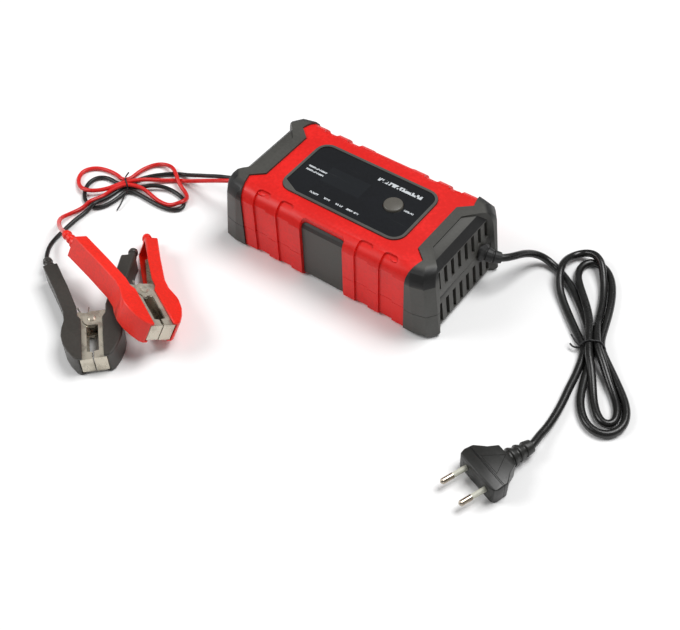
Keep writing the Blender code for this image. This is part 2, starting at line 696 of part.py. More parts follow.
def make_controls():
    """The mode button, the switch under it and the display board."""
    top = FILM_TOP + BUTTON_RISE
    outer = BUTTON_RADIUS
    button = turned("mode_button", [
        (0, top), (outer - 0.0010, top), (outer - 0.0003, top - 0.0003), (outer, top - 0.0010),
        (outer, FLANGE_TOP), (outer + BUTTON_FLANGE, FLANGE_TOP), (outer + BUTTON_FLANGE, FLANGE_LOW),
        (0, FLANGE_LOW)], ((0.13, 0.12, 0.10), 0.5), 24)
    plunger = turned("switch_plunger", [
        (0, PLUNGER_TOP), (PLUNGER_RADIUS, PLUNGER_TOP), (PLUNGER_RADIUS, PLUNGER_LOW), (0, PLUNGER_LOW)],
        (BLACK, 0.4), 16)
    for item in (button, plunger):
        item.location = (*BUTTON_CENTRE, 0.0)
    x, y = BUTTON_CENTRE
    half = SWITCH_SIZE / 2
    switch = box("tact_switch", (x - half, y - half, DISPLAY_BOARD_TOP + GAP), (x + half, y + half, SWITCH_TOP),
                 ((0.35, 0.35, 0.36), 0.35, 0.6))
    cut(switch, cylinders("plunger_bore", [BUTTON_CENTRE], PLUNGER_RADIUS + SLIDE_GAP,
                          SWITCH_BORE_FLOOR, CASE_HEIGHT, 16))
    length, width = DISPLAY_BOARD_SIZE
    box("display_board", (-length / 2, -width / 2, DISPLAY_BOARD_TOP - BOARD_THICKNESS),
        (length / 2, width / 2, DISPLAY_BOARD_TOP), ((0.02, 0.16, 0.06), 0.4))
    cx, cy = DISPLAY_CENTRE
    box("display_module", (cx - 0.0150, cy - 0.0050, DISPLAY_BOARD_TOP + GAP),
        (cx + 0.0150, cy + 0.0050, CEILING - GAP), ((0.30, 0.33, 0.30), 0.3))


# ---------------------------------------------------------------- inside


def make_screws():
    """Four screws that hold the covers together from below."""
    head, shank = SCREW_HEAD_RADIUS, SCREW_RADIUS
    low = SCREW_HEAD_DEPTH - GAP
    tip = low + SCREW_LENGTH
    profile = [(0, tip), (shank * 0.6, tip), (shank, tip - 0.002), (shank, low), (head, low),
               (head, low - SCREW_HEAD_HEIGHT * 0.5), (head * 0.8, low - SCREW_HEAD_HEIGHT),
               (0, low - SCREW_HEAD_HEIGHT)]
    for number, (x, y) in enumerate(corners(SCREW_X, SCREW_Y), 1):
        screw = turned(f"case_screw_{number}", profile, ((0.5, 0.5, 0.5), 0.35, 1.0), 10)
        screw.location = (x, y, 0.0)


def standing(name, centre, size, finish, width=0.0008):
    """A block part that stands on the main board."""
    low = BOARD_TOP + GAP
    item = box(name, (centre[0] - size[0] / 2, centre[1] - size[1] / 2, low),
               (centre[0] + size[0] / 2, centre[1] + size[1] / 2, low + size[2]), finish)
    return soften(item, width, 1)


BOARD_TOP = MAIN_BOARD_HEIGHT + BOARD_THICKNESS


def make_main_board():
    """The main board and the large parts on it."""
    length, width = MAIN_BOARD_SIZE
    box("main_board", (MAIN_BOARD_X - length / 2, -width / 2, MAIN_BOARD_HEIGHT),
        (MAIN_BOARD_X + length / 2, width / 2, BOARD_TOP), ((0.02, 0.16, 0.06), 0.4))
    base = BOARD_TOP + GAP

    core_size = (0.0330, 0.0140, 0.0270)
    leg, frame = 0.0090, 0.0045
    core = standing("transformer_core", (0.004, -0.008), core_size, ((0.06, 0.055, 0.055), 0.5))
    room = (core_size[0] - leg - 2 * frame) / 2
    for side in (1, -1):
        middle = 0.004 + side * (leg + room) / 2
        cut(core, box(f"core_window_{side}", (middle - room / 2, -0.030, base + frame),
                      (middle + room / 2, 0.015, base + core_size[2] - frame)))
    winding = box("transformer_winding", (0.004 - leg / 2 - room + GAP, -0.008 - 0.0125, base + frame + GAP),
                  (0.004 + leg / 2 + room - GAP, -0.008 + 0.0125, base + core_size[2] - frame - GAP),
                  ((0.75, 0.55, 0.10), 0.5))
    cut(winding, box("winding_hole", (0.004 - leg / 2 - GAP, -0.008 - core_size[1] / 2 - GAP, base),
                     (0.004 + leg / 2 + GAP, -0.008 + core_size[1] / 2 + GAP, base + core_size[2])))

    for name, x, y, radius, height, colour in (
            ("bulk_capacitor", 0.052, -0.012, 0.0090, 0.0260, (0.02, 0.03, 0.08)),
            ("output_capacitor", -0.052, -0.014, 0.0062, 0.0200, (0.02, 0.05, 0.03))):
        can = turned(name, [(0, height - 0.0006), (radius * 0.75, height - 0.0006), (radius * 0.8, height),
                            (radius - 0.0006, height), (radius, height - 0.0010), (radius, 0.0022),
                            (radius - 0.0005, 0.0016), (radius, 0.0010), (radius, 0), (0, 0)],
                     (colour, 0.35), 16)
        can.location = (x, y, base)

    major, minor = 0.0082, 0.0036
    ring = [(major + minor * math.cos(math.radians(a)), minor + minor * math.sin(math.radians(a)))
            for a in range(90, -270, -45)]
    choke = turned("toroid_choke", ring, ((0.55, 0.16, 0.04), 0.35), 16, True)
    choke.location = (-0.036, 0.006, base)

    fins = 9
    pitch, fin, root = 0.0068, 0.0020, 0.0030
    outline = [(0.0, 0.0), (pitch * (fins - 1) + fin, 0.0)]
    for index in reversed(range(fins)):
        x = pitch * index
        outline += [(x + fin, 0.010), (x, 0.010)]
        if index:
            outline += [(x, root), (x - pitch + fin, root)]
    sink = plate("heat_sink", [outline], base, base + 0.028, ((0.55, 0.56, 0.57), 0.4, 0.9))
    sink_y = width / 2 - 0.0130
    sink.location.x, sink.location.y = -0.022, sink_y

    for number, x in enumerate((-0.008, 0.016), 1):
        standing(f"power_transistor_{number}", (x, sink_y - 0.0030), (0.0100, 0.0045, 0.0180), (BLACK, 0.4), 0.0005)
    standing("fuse", (0.066, 0.008), (0.0060, 0.0200, 0.0060), ((0.55, 0.50, 0.45), 0.3))


def make_fan():
    """The cooling fan: a square frame with its motor held by four struts, and the rotor."""
    half, depth = FAN_SIZE / 2, FAN_DEPTH / 2
    outline = rounded_rectangle(0, 0, FAN_SIZE, FAN_SIZE, 0.003, 3)
    bore = arc(0, 0, FAN_BORE_RADIUS, 0, 348, 29)
    frame = plate("fan_frame", [outline, bore], -depth, depth, (BLACK, 0.5))
    plate_low, plate_high = -depth, -depth + 0.0014

    def spokes(work):
        bmesh.ops.create_cone(work, cap_ends=True, segments=24, radius1=FAN_HUB_RADIUS, radius2=FAN_HUB_RADIUS,
                              depth=plate_high - plate_low,
                              matrix=Matrix.Translation((0, 0, (plate_low + plate_high) / 2)))

    hub = put(mesh_of(spokes, "fan_motor"), "fan_motor")
    cross = []
    for number, turn in enumerate((45, 135)):
        bar = box(f"fan_strut_{number}", (-FAN_BORE_RADIUS - 0.001, -0.0011, plate_low + 0.0002),
                  (FAN_BORE_RADIUS + 0.001, 0.0011, plate_high - 0.0002))
        bar.location = (0.0, 0.0, (plate_low + plate_high) / 2)
        bar.rotation_euler = (0, 0, math.radians(turn))
        cross.append(bar)
    cut(frame, hub, *cross, operation="UNION")

    low, high = plate_high + SLIDE_GAP, depth - 0.0005
    rotor = cylinders("fan_rotor", [(0, 0)], FAN_HUB_RADIUS, low, high, 24, (BLACK, 0.45))
    tip = FAN_BORE_RADIUS - 0.0008

    def blades(work):
        for index in range(FAN_BLADE_COUNT):
            turn = Matrix.Rotation(2 * math.pi * index / FAN_BLADE_COUNT, 4, "Z")
            lean = Matrix.Rotation(FAN_BLADE_ANGLE, 4, "X")
            reach = tip - FAN_HUB_RADIUS + 0.0015
            size = Matrix.Diagonal((reach, 0.0085, 0.0009, 1.0))
            slide = Matrix.Translation((tip - reach / 2, 0, (low + high) / 2))
            bmesh.ops.create_cube(work, size=1.0, matrix=turn @ slide @ lean @ size)

    cut(rotor, put(mesh_of(blades, "fan_blades"), "fan_blades"), operation="UNION")
    stand = bpy.data.objects.new("fan_axis", None)
    MODEL.objects.link(stand)
    stand.location = (FAN_X, FAN_Y, FAN_Z)
    stand.rotation_euler = (0, math.pi / 2, 0)
    for item in (frame, rotor, hub, *cross, bpy.data.objects["fan_blades"]):
        item.parent = stand


# ---------------------------------------------------------------- leads


def bend(item, start, angle, length, droop):
    """Bend the part of a turned piece above the start height along an arc, towards its own +Y."""
    bpy.context.view_layer.update()
    data = bpy.data.meshes.new_from_object(item.evaluated_get(bpy.context.evaluated_depsgraph_get()))
    item.modifiers.clear()
    item.data = data
    radius = (length - start) / angle
    away = Vector((-droop, 1.0, 0.0)).normalized()
    for vert in data.vertices:
        if vert.co.z <= start:
            continue
        turn = (vert.co.z - start) / radius
        side = vert.co.x * away.x + vert.co.y * away.y
        across = Vector((vert.co.x, vert.co.y, 0.0)) - side * away
        reach = radius - side
        vert.co = across + away * (radius - reach * math.cos(turn))
        vert.co.z = start + reach * math.sin(turn)
    tip = away * radius * (1 - math.cos(angle))
    tip.z = start + radius * math.sin(angle)
    heading = away * math.sin(angle)
    heading.z = math.cos(angle)
    return tip, heading


def make_gland(name, side, y, boot, bend_angle, cord_radius, colour):
    """A rubber gland clamped in the case wall: a flange inside and a tapered, bent boot outside."""
    flange, neck, tip = GLAND_FLANGE_RADIUS, GLAND_NECK_RADIUS, cord_radius + 0.0012
    tilt = math.atan(END_LEAN) * flange * 1.2 + GAP
    profile = [(0, boot), (tip, boot)]
    for share in (0.66, 0.33):
        radius = tip + (flange - 0.0008 - tip) * (1 - share)
        profile += [(radius, boot * share + 0.0006), (radius - 0.0006, boot * share),
                    (radius - 0.0006, boot * share - 0.0006), (radius, boot * share - 0.0010)]
    profile += [(flange, tilt + 0.0010), (flange, tilt), (neck, tilt)]
    inner = -WALL - tilt
    profile += [(neck, inner), (flange, inner), (flange, inner - 0.0020), (neck, inner - 0.0020),
                (neck * 0.8, -GLAND_INSIDE), (0, -GLAND_INSIDE)]
    gland = turned(name, profile, (colour, 0.6), 16)
    tip, heading = bend(gland, tilt + 0.0010, bend_angle, boot, -MAINS_BOOT_DROOP if side > 0 else 0.0)
    gland.location = (side * END_WALL_X, y, END_SEAM_HEIGHT)
    gland.rotation_euler = (0, side * math.pi / 2, 0)
    turn = Matrix.Rotation(side * math.pi / 2, 3, "Y")
    return gland.location + turn @ tip, turn @ heading


def hank(name, outline, height, finish):
    """The outer shape of a tied hank of lead, which lies on its tie."""
    return plate(name, [closed_curve(outline)], HANK_LIFT, HANK_LIFT + height, finish)


def closed_curve(points, steps=2):
    """A smooth closed outline through the points."""
    count = len(points)
    made = []
    for i in range(count):
        a, b, c, d = (Vector(points[(i + k) % count]) for k in (-1, 0, 1, 2))
        for step in range(steps):
            t = step / steps
            made.append(tuple(0.5 * (2 * b + (c - a) * t + (2 * a - 5 * b + 4 * c - d) * t ** 2
                                     + (3 * b - a - 3 * c + d) * t ** 3)))
    return made


HANK_LIFT = 0.0011
MAINS_HANK = [(0.176, 0.016), (0.160, 0.024), (0.145, 0.036), (0.132, 0.051), (0.127, 0.066), (0.131, 0.082),
              (0.144, 0.088), (0.159, 0.083), (0.173, 0.067), (0.182, 0.047), (0.188, 0.025), (0.1905, 0.012),
              (0.203, 0.002), (0.221, -0.014), (0.232, -0.030), (0.231, -0.045), (0.222, -0.053), (0.208, -0.051),
              (0.196, -0.040), (0.189, -0.0265), (0.1815, -0.0255), (0.1775, -0.008), (0.1755, 0.005)]
BATTERY_HANK = [(-0.1822, -0.0542), (-0.1798, -0.0510), (-0.168, -0.0545), (-0.145, -0.0545), (-0.132, -0.049),
                (-0.131, -0.038), (-0.141, -0.029), (-0.152, -0.022), (-0.160, -0.013), (-0.173, -0.0115),
                (-0.185, -0.0155), (-0.1905, -0.028), (-0.1884, -0.0448), (-0.1908, -0.0480), (-0.200, -0.0425),
                (-0.216, -0.0430), (-0.228, -0.055), (-0.226, -0.066), (-0.214, -0.076), (-0.203, -0.0845),
                (-0.1855, -0.0850), (-0.1780, -0.0720), (-0.1790, -0.0600)]
MAINS_TO_HANK = [(0.1040, 0.0350, 0.0222), (0.1068, 0.0460, 0.0160), (0.1105, 0.0560, 0.0092),
                 (0.1165, 0.0610, 0.0045), (0.1240, 0.0610, 0.0031)]
MAINS_TO_PLUG = [(0.1865, -0.0290, 0.0031), (0.1885, -0.0400, 0.0031), (0.1900, -0.0520, 0.0033),
                 (0.1908, -0.0650, 0.0042), (0.1903, -0.0750, 0.0055)]
RED_TO_HANK = [(-0.1080, -0.0207, 0.0250), (-0.1180, -0.0212, 0.0195), (-0.1280, -0.0203, 0.0125),
               (-0.1370, -0.0190, 0.0055), (-0.1450, -0.0180, 0.0020), (-0.1510, -0.0190, 0.0018)]
BLACK_TO_HANK = [(-0.1080, -0.0172, 0.0256), (-0.1180, -0.0174, 0.0205), (-0.1280, -0.0162, 0.0135),
                 (-0.1380, -0.0145, 0.0062), (-0.1470, -0.0132, 0.0021), (-0.1545, -0.0137, 0.0018)]
RED_TO_CLAMP = [(-0.1955, -0.0865, 0.0018), (-0.1975, -0.0970, 0.0030), (-0.1960, -0.1080, 0.0080),
                (-0.1870, -0.1170, 0.0150), (-0.1760, -0.1245, 0.0215)]
BLACK_TO_CLAMP = [(-0.1905, -0.0870, 0.0018), (-0.1912, -0.1000, 0.0018), (-0.1900, -0.1120, 0.0020),
                  (-0.1880, -0.1230, 0.0030), (-0.1830, -0.1340, 0.0055)]


def run(name, start, middle, end, radius, finish):
    """One free stretch of lead through its middle points; an end is a boot's tip and heading."""
    points = [Vector(place) for place in middle]
    clear = GAP + CORD_END_GAP * radius
    if start:
        points.insert(0, start[0] + start[1] * (clear + radius))
    if end:
        points.append(end[0] + end[1] * (clear + radius))
    points = smooth_route(points, 4.5 * radius)
    if start:
        points.insert(0, start[0] + start[1] * clear)
    if end:
        points.append(end[0] + end[1] * clear)
    return tube(name, points, radius, finish, 2 if radius < 0.002 else 3, smooth=False)


def make_tie(name, centre, turn, size, wire):
    """A wire tie: a ring around the waist of a hank."""
    corner = 0.0014
    outer = rounded_rectangle(0, 0, *size, corner, 3)
    inner = rounded_rectangle(0, 0, size[0] - 2 * wire, size[1] - 2 * wire, corner - wire, 3)
    tie = plate(name, [outer, inner], -wire * 1.2, wire * 1.2, (BLACK, 0.6))
    tie.rotation_euler = (math.pi / 2, 0, turn)
    tie.location = (*centre, size[1] / 2 + 0.0001)
    return tie


def make_plug():
    """The flat two-pin plug, its boot and its part-sleeved pins."""
    half = PLUG_WIDTH / 2
    waist, boot_root, boot_tip = 0.0095, 0.0066, 0.0043
    upper = [(0.0, half - 0.003), (0.001, half - 0.001), (0.004, half), (0.011, half - 0.0006),
             (0.0145, half - 0.0035), (0.0175, waist + 0.0020), (0.0215, waist), (PLUG_GRIP_LENGTH, waist - 0.0012)]
    body = plate("plug_grip", [upper + [(x, -y) for x, y in reversed(upper)]],
                 -PLUG_THICKNESS / 2, PLUG_THICKNESS / 2)
    boot_start, boot_end = PLUG_GRIP_LENGTH - 0.003, PLUG_GRIP_LENGTH + PLUG_BOOT_LENGTH
    profile = [(0, boot_end), (boot_tip, boot_end)]
    rings = 3
    for index in range(1, rings + 1):
        z = boot_end - (boot_end - PLUG_GRIP_LENGTH) * index / (rings + 0.5)
        radius = boot_tip + (boot_root - boot_tip) * index / rings
        profile += [(radius, z + 0.0012), (radius, z), (radius - 0.0009, z - 0.0003), (radius - 0.0009, z - 0.0014)]
    profile += [(boot_root, PLUG_GRIP_LENGTH - 0.0014), (boot_root, boot_start), (0, boot_start)]
    boot = turned("plug_boot", profile, None, 16)
    boot.rotation_euler = (0, math.pi / 2, 0)
    plug = retitle(body, "plug_body", (BLACK, 0.5))
    soften(plug, 0.0022, 2, 60)
    cut(plug, boot, operation="UNION")

    stand = bpy.data.objects.new("plug_place", None)
    MODEL.objects.link(stand)
    stand.location = PLUG_FRONT
    stand.rotation_euler = (0, 0, PLUG_TURN + math.pi)
    plug.parent = boot.parent = stand
    sockets = []
    for number, side in enumerate((1, -1), 1):
        pin = turned(f"plug_pin_{number}", [
            (0, PIN_LENGTH), (PIN_RADIUS - 0.0010, PIN_LENGTH), (PIN_RADIUS, PIN_LENGTH - 0.0012),
            (PIN_RADIUS, PIN_SLEEVE_LENGTH), (PIN_SLEEVE_RADIUS, PIN_SLEEVE_LENGTH - 0.0001),
            (PIN_SLEEVE_RADIUS, -PIN_ROOT), (0, -PIN_ROOT)], ((0.70, 0.69, 0.62), 0.3, 0.5), 16)
        pin.location = (0, side * PIN_SPACING / 2, 0)
        pin.rotation_euler = (0, -math.pi / 2, 0)
        pin.parent = stand
        socket = cylinders(f"pin_socket_{number}", [(0, 0)], PIN_SLEEVE_RADIUS + GAP, -PIN_ROOT - GAP, 0.005, 16)
        socket.location, socket.rotation_euler, socket.parent = pin.location, pin.rotation_euler, stand
        sockets.append(socket)
    cut(plug, *sockets)


# ---------------------------------------------------------------- clamps


@dataclass
class ClampPlace:
    """Where a clamp lies: its pivot, and its turn as roll, pitch and yaw in degrees."""
    name: str
    colour: tuple
    pivot: tuple
    turn: tuple


CLAMPS = (ClampPlace("black", GREY, (-0.1018, -0.1702, 0.0088), (0, 0, -44.2)),
          ClampPlace("red", RED, (-0.0828, -0.1402, 0.0214), (-27.0, 1.0, -26.3)))

COVER_OUTER = [(0.0360, 0.0105), (0.0345, 0.0128), (0.0280, 0.0168), (0.0210, 0.0196), (0.0140, 0.0208),
               (0.0070, 0.0203), (0.0000, 0.0186), (-0.0080, 0.0190), (-0.0300, 0.0250), (-0.0540, 0.0325)]
COVER_INNER = [(-CLAMP_HANDLE_END, 0.0225), (-0.0300, 0.0150), (-0.0100, 0.0098), (-0.0030, 0.0095),
               (0.0010, 0.0072), (0.0360, 0.0072)]


def inward(points, wall):
    """The outer edge of a cover, moved in by a wall."""
    made = []
    for i, point in enumerate(points):
        before = Vector(points[max(i - 1, 0)])
        after = Vector(points[min(i + 1, len(points) - 1)])
        along = (after - before).normalized()
        made.append(tuple(Vector(point) + Vector((-along.y, along.x)) * wall))
    return made


def mirrored(outline, side):
    """The outline on one side of the clamp's own X axis."""
    return [(x, side * y) for x, y in outline]


def clamp_cover(name, side, colour):
    """One plastic half: a channel open towards the other half, with a knob at its handle end."""
    half = CLAMP_COVER_HEIGHT / 2
    cover = plate(name, [mirrored(COVER_OUTER + COVER_INNER, side)], -half, half, (colour, 0.4))
    soften(cover, 0.0012, 1, 50)
    edge = inward(COVER_OUTER, CLAMP_COVER_WALL)
    end = -CLAMP_HANDLE_END + CLAMP_COVER_WALL + 0.0010
    hollow = [(0.0380, edge[0][1])] + edge[:-1] + [(end, 0.0302), (end, 0.0150), (-0.0300, 0.0080),
                                                   (-0.0060, 0.0020), (0.0380, 0.0020)]
    room = plate(name + "_hollow", [mirrored(hollow, side)], -half + CLAMP_COVER_WALL, half - CLAMP_COVER_WALL)
    cut(cover, room)
    return cover, room


def clamp_jaw(name, side, outer):
    """One sheet-metal half: a channel with ears at the pivot and a toothed nose."""
    top = JAW_HEIGHT / 2 - (0.0 if outer else 0.0004)
    low = top - JAW_SHEET
    margin = CLAMP_COVER_WALL + GAP
    edge = inward(COVER_OUTER[1:-1], margin + 0.0001)
    edge = [(x, y) for x, y in edge if x < CLAMP_NOSE - 0.004]
    back = [(-0.0470, 0.0278), (-0.0460, 0.0238), (-0.0300, 0.0182), (-0.0110, 0.0116), (-0.0060, 0.0096)]
    front = [(0.0066, 0.0040), (0.0290, 0.0040)] + teeth() + [(CLAMP_NOSE - GAP, 0.0004),
                                                              (CLAMP_NOSE - GAP, 0.0088)]
    ear = arc(0, 0, JAW_EAR_RADIUS, 160, 380, 9)
    around = ear if outer else []
    jaw = plate(name, [mirrored(edge + back + around + front, side)], -top, top, (NICKEL, 0.3, 1.0))
    web = inward(edge, JAW_SHEET)
    inside = [(CLAMP_NOSE - GAP - JAW_SHEET, web[0][1] - 0.001)] + web + [(-0.052, 0.0266), (-0.052, 0.0),
              (-0.0060, -0.010), (CLAMP_NOSE - GAP - JAW_SHEET, -0.010)]
    hollow = plate(name + "_inside", [mirrored(inside, side)], -low, low)
    cut(jaw, hollow)
    if not outer:
        clearance = cylinders(name + "_clearance", [(0, 0)], JAW_EAR_RADIUS + 0.0005, -0.020, 0.020, 16)
        cut(jaw, clearance)
        inner = low + 0.0001
        ears = []
        for end in (1, -1):
            shape = arc(0, 0, JAW_EAR_RADIUS, 160, 380, 9) + [(0.0090, 0.0120), (-0.0090, 0.0120)]
            low_z, high_z = sorted((end * inner, end * (inner - JAW_SHEET)))
            ears.append(plate(f"{name}_ear_{end}", [mirrored(shape, side)], low_z, high_z))
        cut(jaw, *ears, operation="UNION")
    return jaw


def teeth():
    """The notched edge where the two noses meet."""
    made = []
    count, pitch, depth = 4, 0.0014, 0.0006
    for index in range(count):
        x = 0.0296 + index * pitch
        made += [(x, 0.0004 + depth * (1 + 0.1 * index)), (x + pitch / 2, 0.0004)]
    return made


def knob_profile(length, radius):
    """A ribbed knob, from its free end to its root."""
    profile = [(0, length), (radius * 0.72, length)]
    for index in range(2):
        z = length * (0.82 - 0.36 * index)
        profile += [(radius * 0.86, z), (radius * 0.86, z - 0.0012), (radius * 0.68, z - 0.0015),
                    (radius * 0.68, z - 0.0024)]
    return profile + [(radius, length * 0.14), (radius, 0), (0, 0)]


def spring_points():
    """A torsion spring about the rivet, with one leg along each handle."""
    rise = JAW_HEIGHT * 0.5 / SPRING_TURNS
    total = SPRING_TURNS * SPRING_STEPS
    points = [(-0.0200, -0.0110, -rise * SPRING_TURNS / 2)]
    for index in range(total + 1):
        turn = math.radians(-90 + 360 * index / SPRING_STEPS)
        points.append((SPRING_RADIUS * math.cos(turn), SPRING_RADIUS * math.sin(turn),
                       rise * (index / SPRING_STEPS - SPRING_TURNS / 2)))
    points.append((-0.0130, -0.0022, rise * SPRING_TURNS / 2))
    return points


def make_clamp(place):
    """One clamp: two covers, two jaws, rivet, spring and the lead's boot, about its pivot."""
    stand = bpy.data.objects.new(place.name + "_clamp_pivot", None)
    MODEL.objects.link(stand)
    stand.location = place.pivot
    stand.rotation_euler = tuple(math.radians(angle) for angle in place.turn)
    title = place.name + "_clamp_"
    pieces = []
    knob_start = Vector((-CLAMP_HANDLE_END + 0.0004, 0.0275, 0.0))
    for side, half in ((-1, "fixed"), (1, "free")):
        cover, room = clamp_cover(title + half + "_cover", side, place.colour)
        jaw = clamp_jaw(title + half + "_jaw", side, side > 0)
        bore = cylinders(title + half + "_bore", [(0, 0)], RIVET_RADIUS + SLIDE_GAP, -0.020, 0.020, 12)
        cut(jaw, bore)
        pieces += [cover, room, jaw, bore]
        lean = Matrix.Rotation(side * -CLAMP_BOOT_LEAN, 4, "Z") @ Matrix.Rotation(-math.pi / 2, 4, "Y")
        if side > 0:
            knob = turned(title + "knob", knob_profile(CLAMP_BOOT_LENGTH, CLAMP_BOOT_RADIUS), None, 12)
            cut(cover, knob, operation="UNION")
            knob.matrix_basis = Matrix.Translation(knob_start + Vector((0.0008, 0, 0))) @ lean
        else:
            knob = turned(title + "boot", knob_profile(CLAMP_BOOT_LENGTH, CLAMP_BOOT_RADIUS),
                          (place.colour, 0.5), 12)
            start = Vector((knob_start.x - GAP - 0.0016, -knob_start.y - 0.0004, 0.0))
            knob.matrix_basis = Matrix.Translation(start) @ lean
        pieces.append(knob)
    top = JAW_HEIGHT / 2 + GAP
    head = top + RIVET_HEAD_HEIGHT
    rivet = turned(title + "rivet", [
        (0, head), (RIVET_HEAD_RADIUS * 0.7, head), (RIVET_HEAD_RADIUS, top + 0.0002), (RIVET_HEAD_RADIUS, top),
        (RIVET_RADIUS, top), (RIVET_RADIUS, -top), (RIVET_HEAD_RADIUS, -top), (RIVET_HEAD_RADIUS, -top - 0.0002),
        (RIVET_HEAD_RADIUS * 0.7, -head), (0, -head)], (NICKEL, 0.25, 1.0), 12)
    spring = tube(title + "spring", spring_points(), SPRING_WIRE_RADIUS, ((0.25, 0.24, 0.22), 0.3, 1.0), 1,
                  smooth=False)
    pieces += [rivet, spring]
    pieces += [item for item in CUTTERS.objects if "_ear_" in item.name and item.name.startswith(title)]
    pieces += [item for item in CUTTERS.objects
               if item.name.startswith(title) and item.name.endswith(("_inside", "_clearance"))]
    for item in pieces:
        item.parent = stand
    turn = Matrix.Translation(place.pivot) @ stand.rotation_euler.to_matrix().to_4x4()
    boot = turn @ bpy.data.objects[title + "boot"].matrix_basis
    return boot @ Vector((0, 0, CLAMP_BOOT_LENGTH)), boot.to_3x3() @ Vector((0, 0, 1))


def main():
    make_covers()
    make_end_caps()
    make_side_grips()
    make_panel()
    make_controls()
    make_screws()
    make_main_board()
    make_fan()
    make_plug()
    ends = {place.name: make_clamp(place) for place in CLAMPS}

    mains = (BLACK, 0.45)
    mains_boot = make_gland("mains_gland", 1, MAINS_GLAND_Y, MAINS_BOOT_LENGTH, MAINS_BOOT_BEND,
                            MAINS_CORD_RADIUS, BLACK)
    battery_boot = make_gland("battery_gland", -1, BATTERY_GLAND_Y, BATTERY_BOOT_LENGTH, BATTERY_BOOT_BEND,
                              2 * BATTERY_WIRE_RADIUS, BLACK)
    run("mains_lead_case", mains_boot, MAINS_TO_HANK, None, MAINS_CORD_RADIUS, mains)
    hank("mains_hank", MAINS_HANK, 0.0100, mains)
    heading = Vector((math.cos(PLUG_TURN + math.pi), math.sin(PLUG_TURN + math.pi), 0.0))
    plug_back = (PLUG_FRONT + heading * (PLUG_GRIP_LENGTH + PLUG_BOOT_LENGTH), heading)
    run("mains_lead_plug", None, MAINS_TO_PLUG, plug_back, MAINS_CORD_RADIUS, mains)
    make_tie("mains_tie", (0.1830, 0.0085), math.radians(26), (0.0198, 0.0120), 0.0006)

    tip, heading = battery_boot
    for name, side, to_hank, to_clamp, colour in (("red", -1, RED_TO_HANK, RED_TO_CLAMP, RED),
                                                  ("black", 1, BLACK_TO_HANK, BLACK_TO_CLAMP, BLACK)):
        start = (tip + Vector((0, side * (BATTERY_WIRE_RADIUS + GAP), 0)), heading)
        run(name + "_lead_case", start, to_hank, None, BATTERY_WIRE_RADIUS, (colour, 0.4))
        run(name + "_lead_clamp", None, to_clamp, ends[name], BATTERY_WIRE_RADIUS, (colour, 0.4))
    hank("battery_hank", BATTERY_HANK, 0.0060, (BLACK, 0.5))
    make_tie("battery_tie", (-0.1853, -0.0495), math.radians(-36), (0.0156, 0.0078), 0.0005)


main()
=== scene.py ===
"""Finishes a car battery charger: its case, label panel, leads, plug and clamps."""

import json
import math

import bmesh
import bpy
from bpy.props import FloatProperty, FloatVectorProperty, IntProperty, PointerProperty
from mathutils import Matrix, Vector

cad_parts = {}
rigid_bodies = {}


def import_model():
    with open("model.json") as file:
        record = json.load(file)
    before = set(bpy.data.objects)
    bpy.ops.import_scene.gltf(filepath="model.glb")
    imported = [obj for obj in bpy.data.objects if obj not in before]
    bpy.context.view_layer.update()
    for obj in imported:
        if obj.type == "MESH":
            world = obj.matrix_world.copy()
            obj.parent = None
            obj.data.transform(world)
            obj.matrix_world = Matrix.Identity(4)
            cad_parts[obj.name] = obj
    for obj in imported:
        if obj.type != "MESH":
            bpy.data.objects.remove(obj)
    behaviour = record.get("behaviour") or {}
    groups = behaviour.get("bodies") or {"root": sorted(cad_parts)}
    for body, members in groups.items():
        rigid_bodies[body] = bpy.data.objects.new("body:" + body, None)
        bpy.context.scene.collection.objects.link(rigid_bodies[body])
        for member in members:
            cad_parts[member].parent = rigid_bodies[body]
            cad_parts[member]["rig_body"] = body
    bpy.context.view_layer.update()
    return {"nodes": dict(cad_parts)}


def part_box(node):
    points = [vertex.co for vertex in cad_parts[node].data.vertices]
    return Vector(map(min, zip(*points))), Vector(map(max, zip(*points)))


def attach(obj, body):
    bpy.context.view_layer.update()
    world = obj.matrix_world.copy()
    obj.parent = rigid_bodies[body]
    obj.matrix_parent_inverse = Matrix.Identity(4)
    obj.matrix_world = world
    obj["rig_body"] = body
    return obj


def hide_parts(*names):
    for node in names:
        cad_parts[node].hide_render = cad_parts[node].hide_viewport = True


bl_info = {
    "name": "Car Battery Charger",
    "version": (1, 0, 0),
    "blender": (4, 5, 0),
    "location": "3D View > Sidebar > Charger",
    "description": "Finishes a car battery charger with its leads, plug and clamps",
    "category": "Object",
}

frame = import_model()
NODES = frame["nodes"]
CASE = "case"
FLOOR = 0.0

# ---------------------------------------------------------------- lead routes, in metres

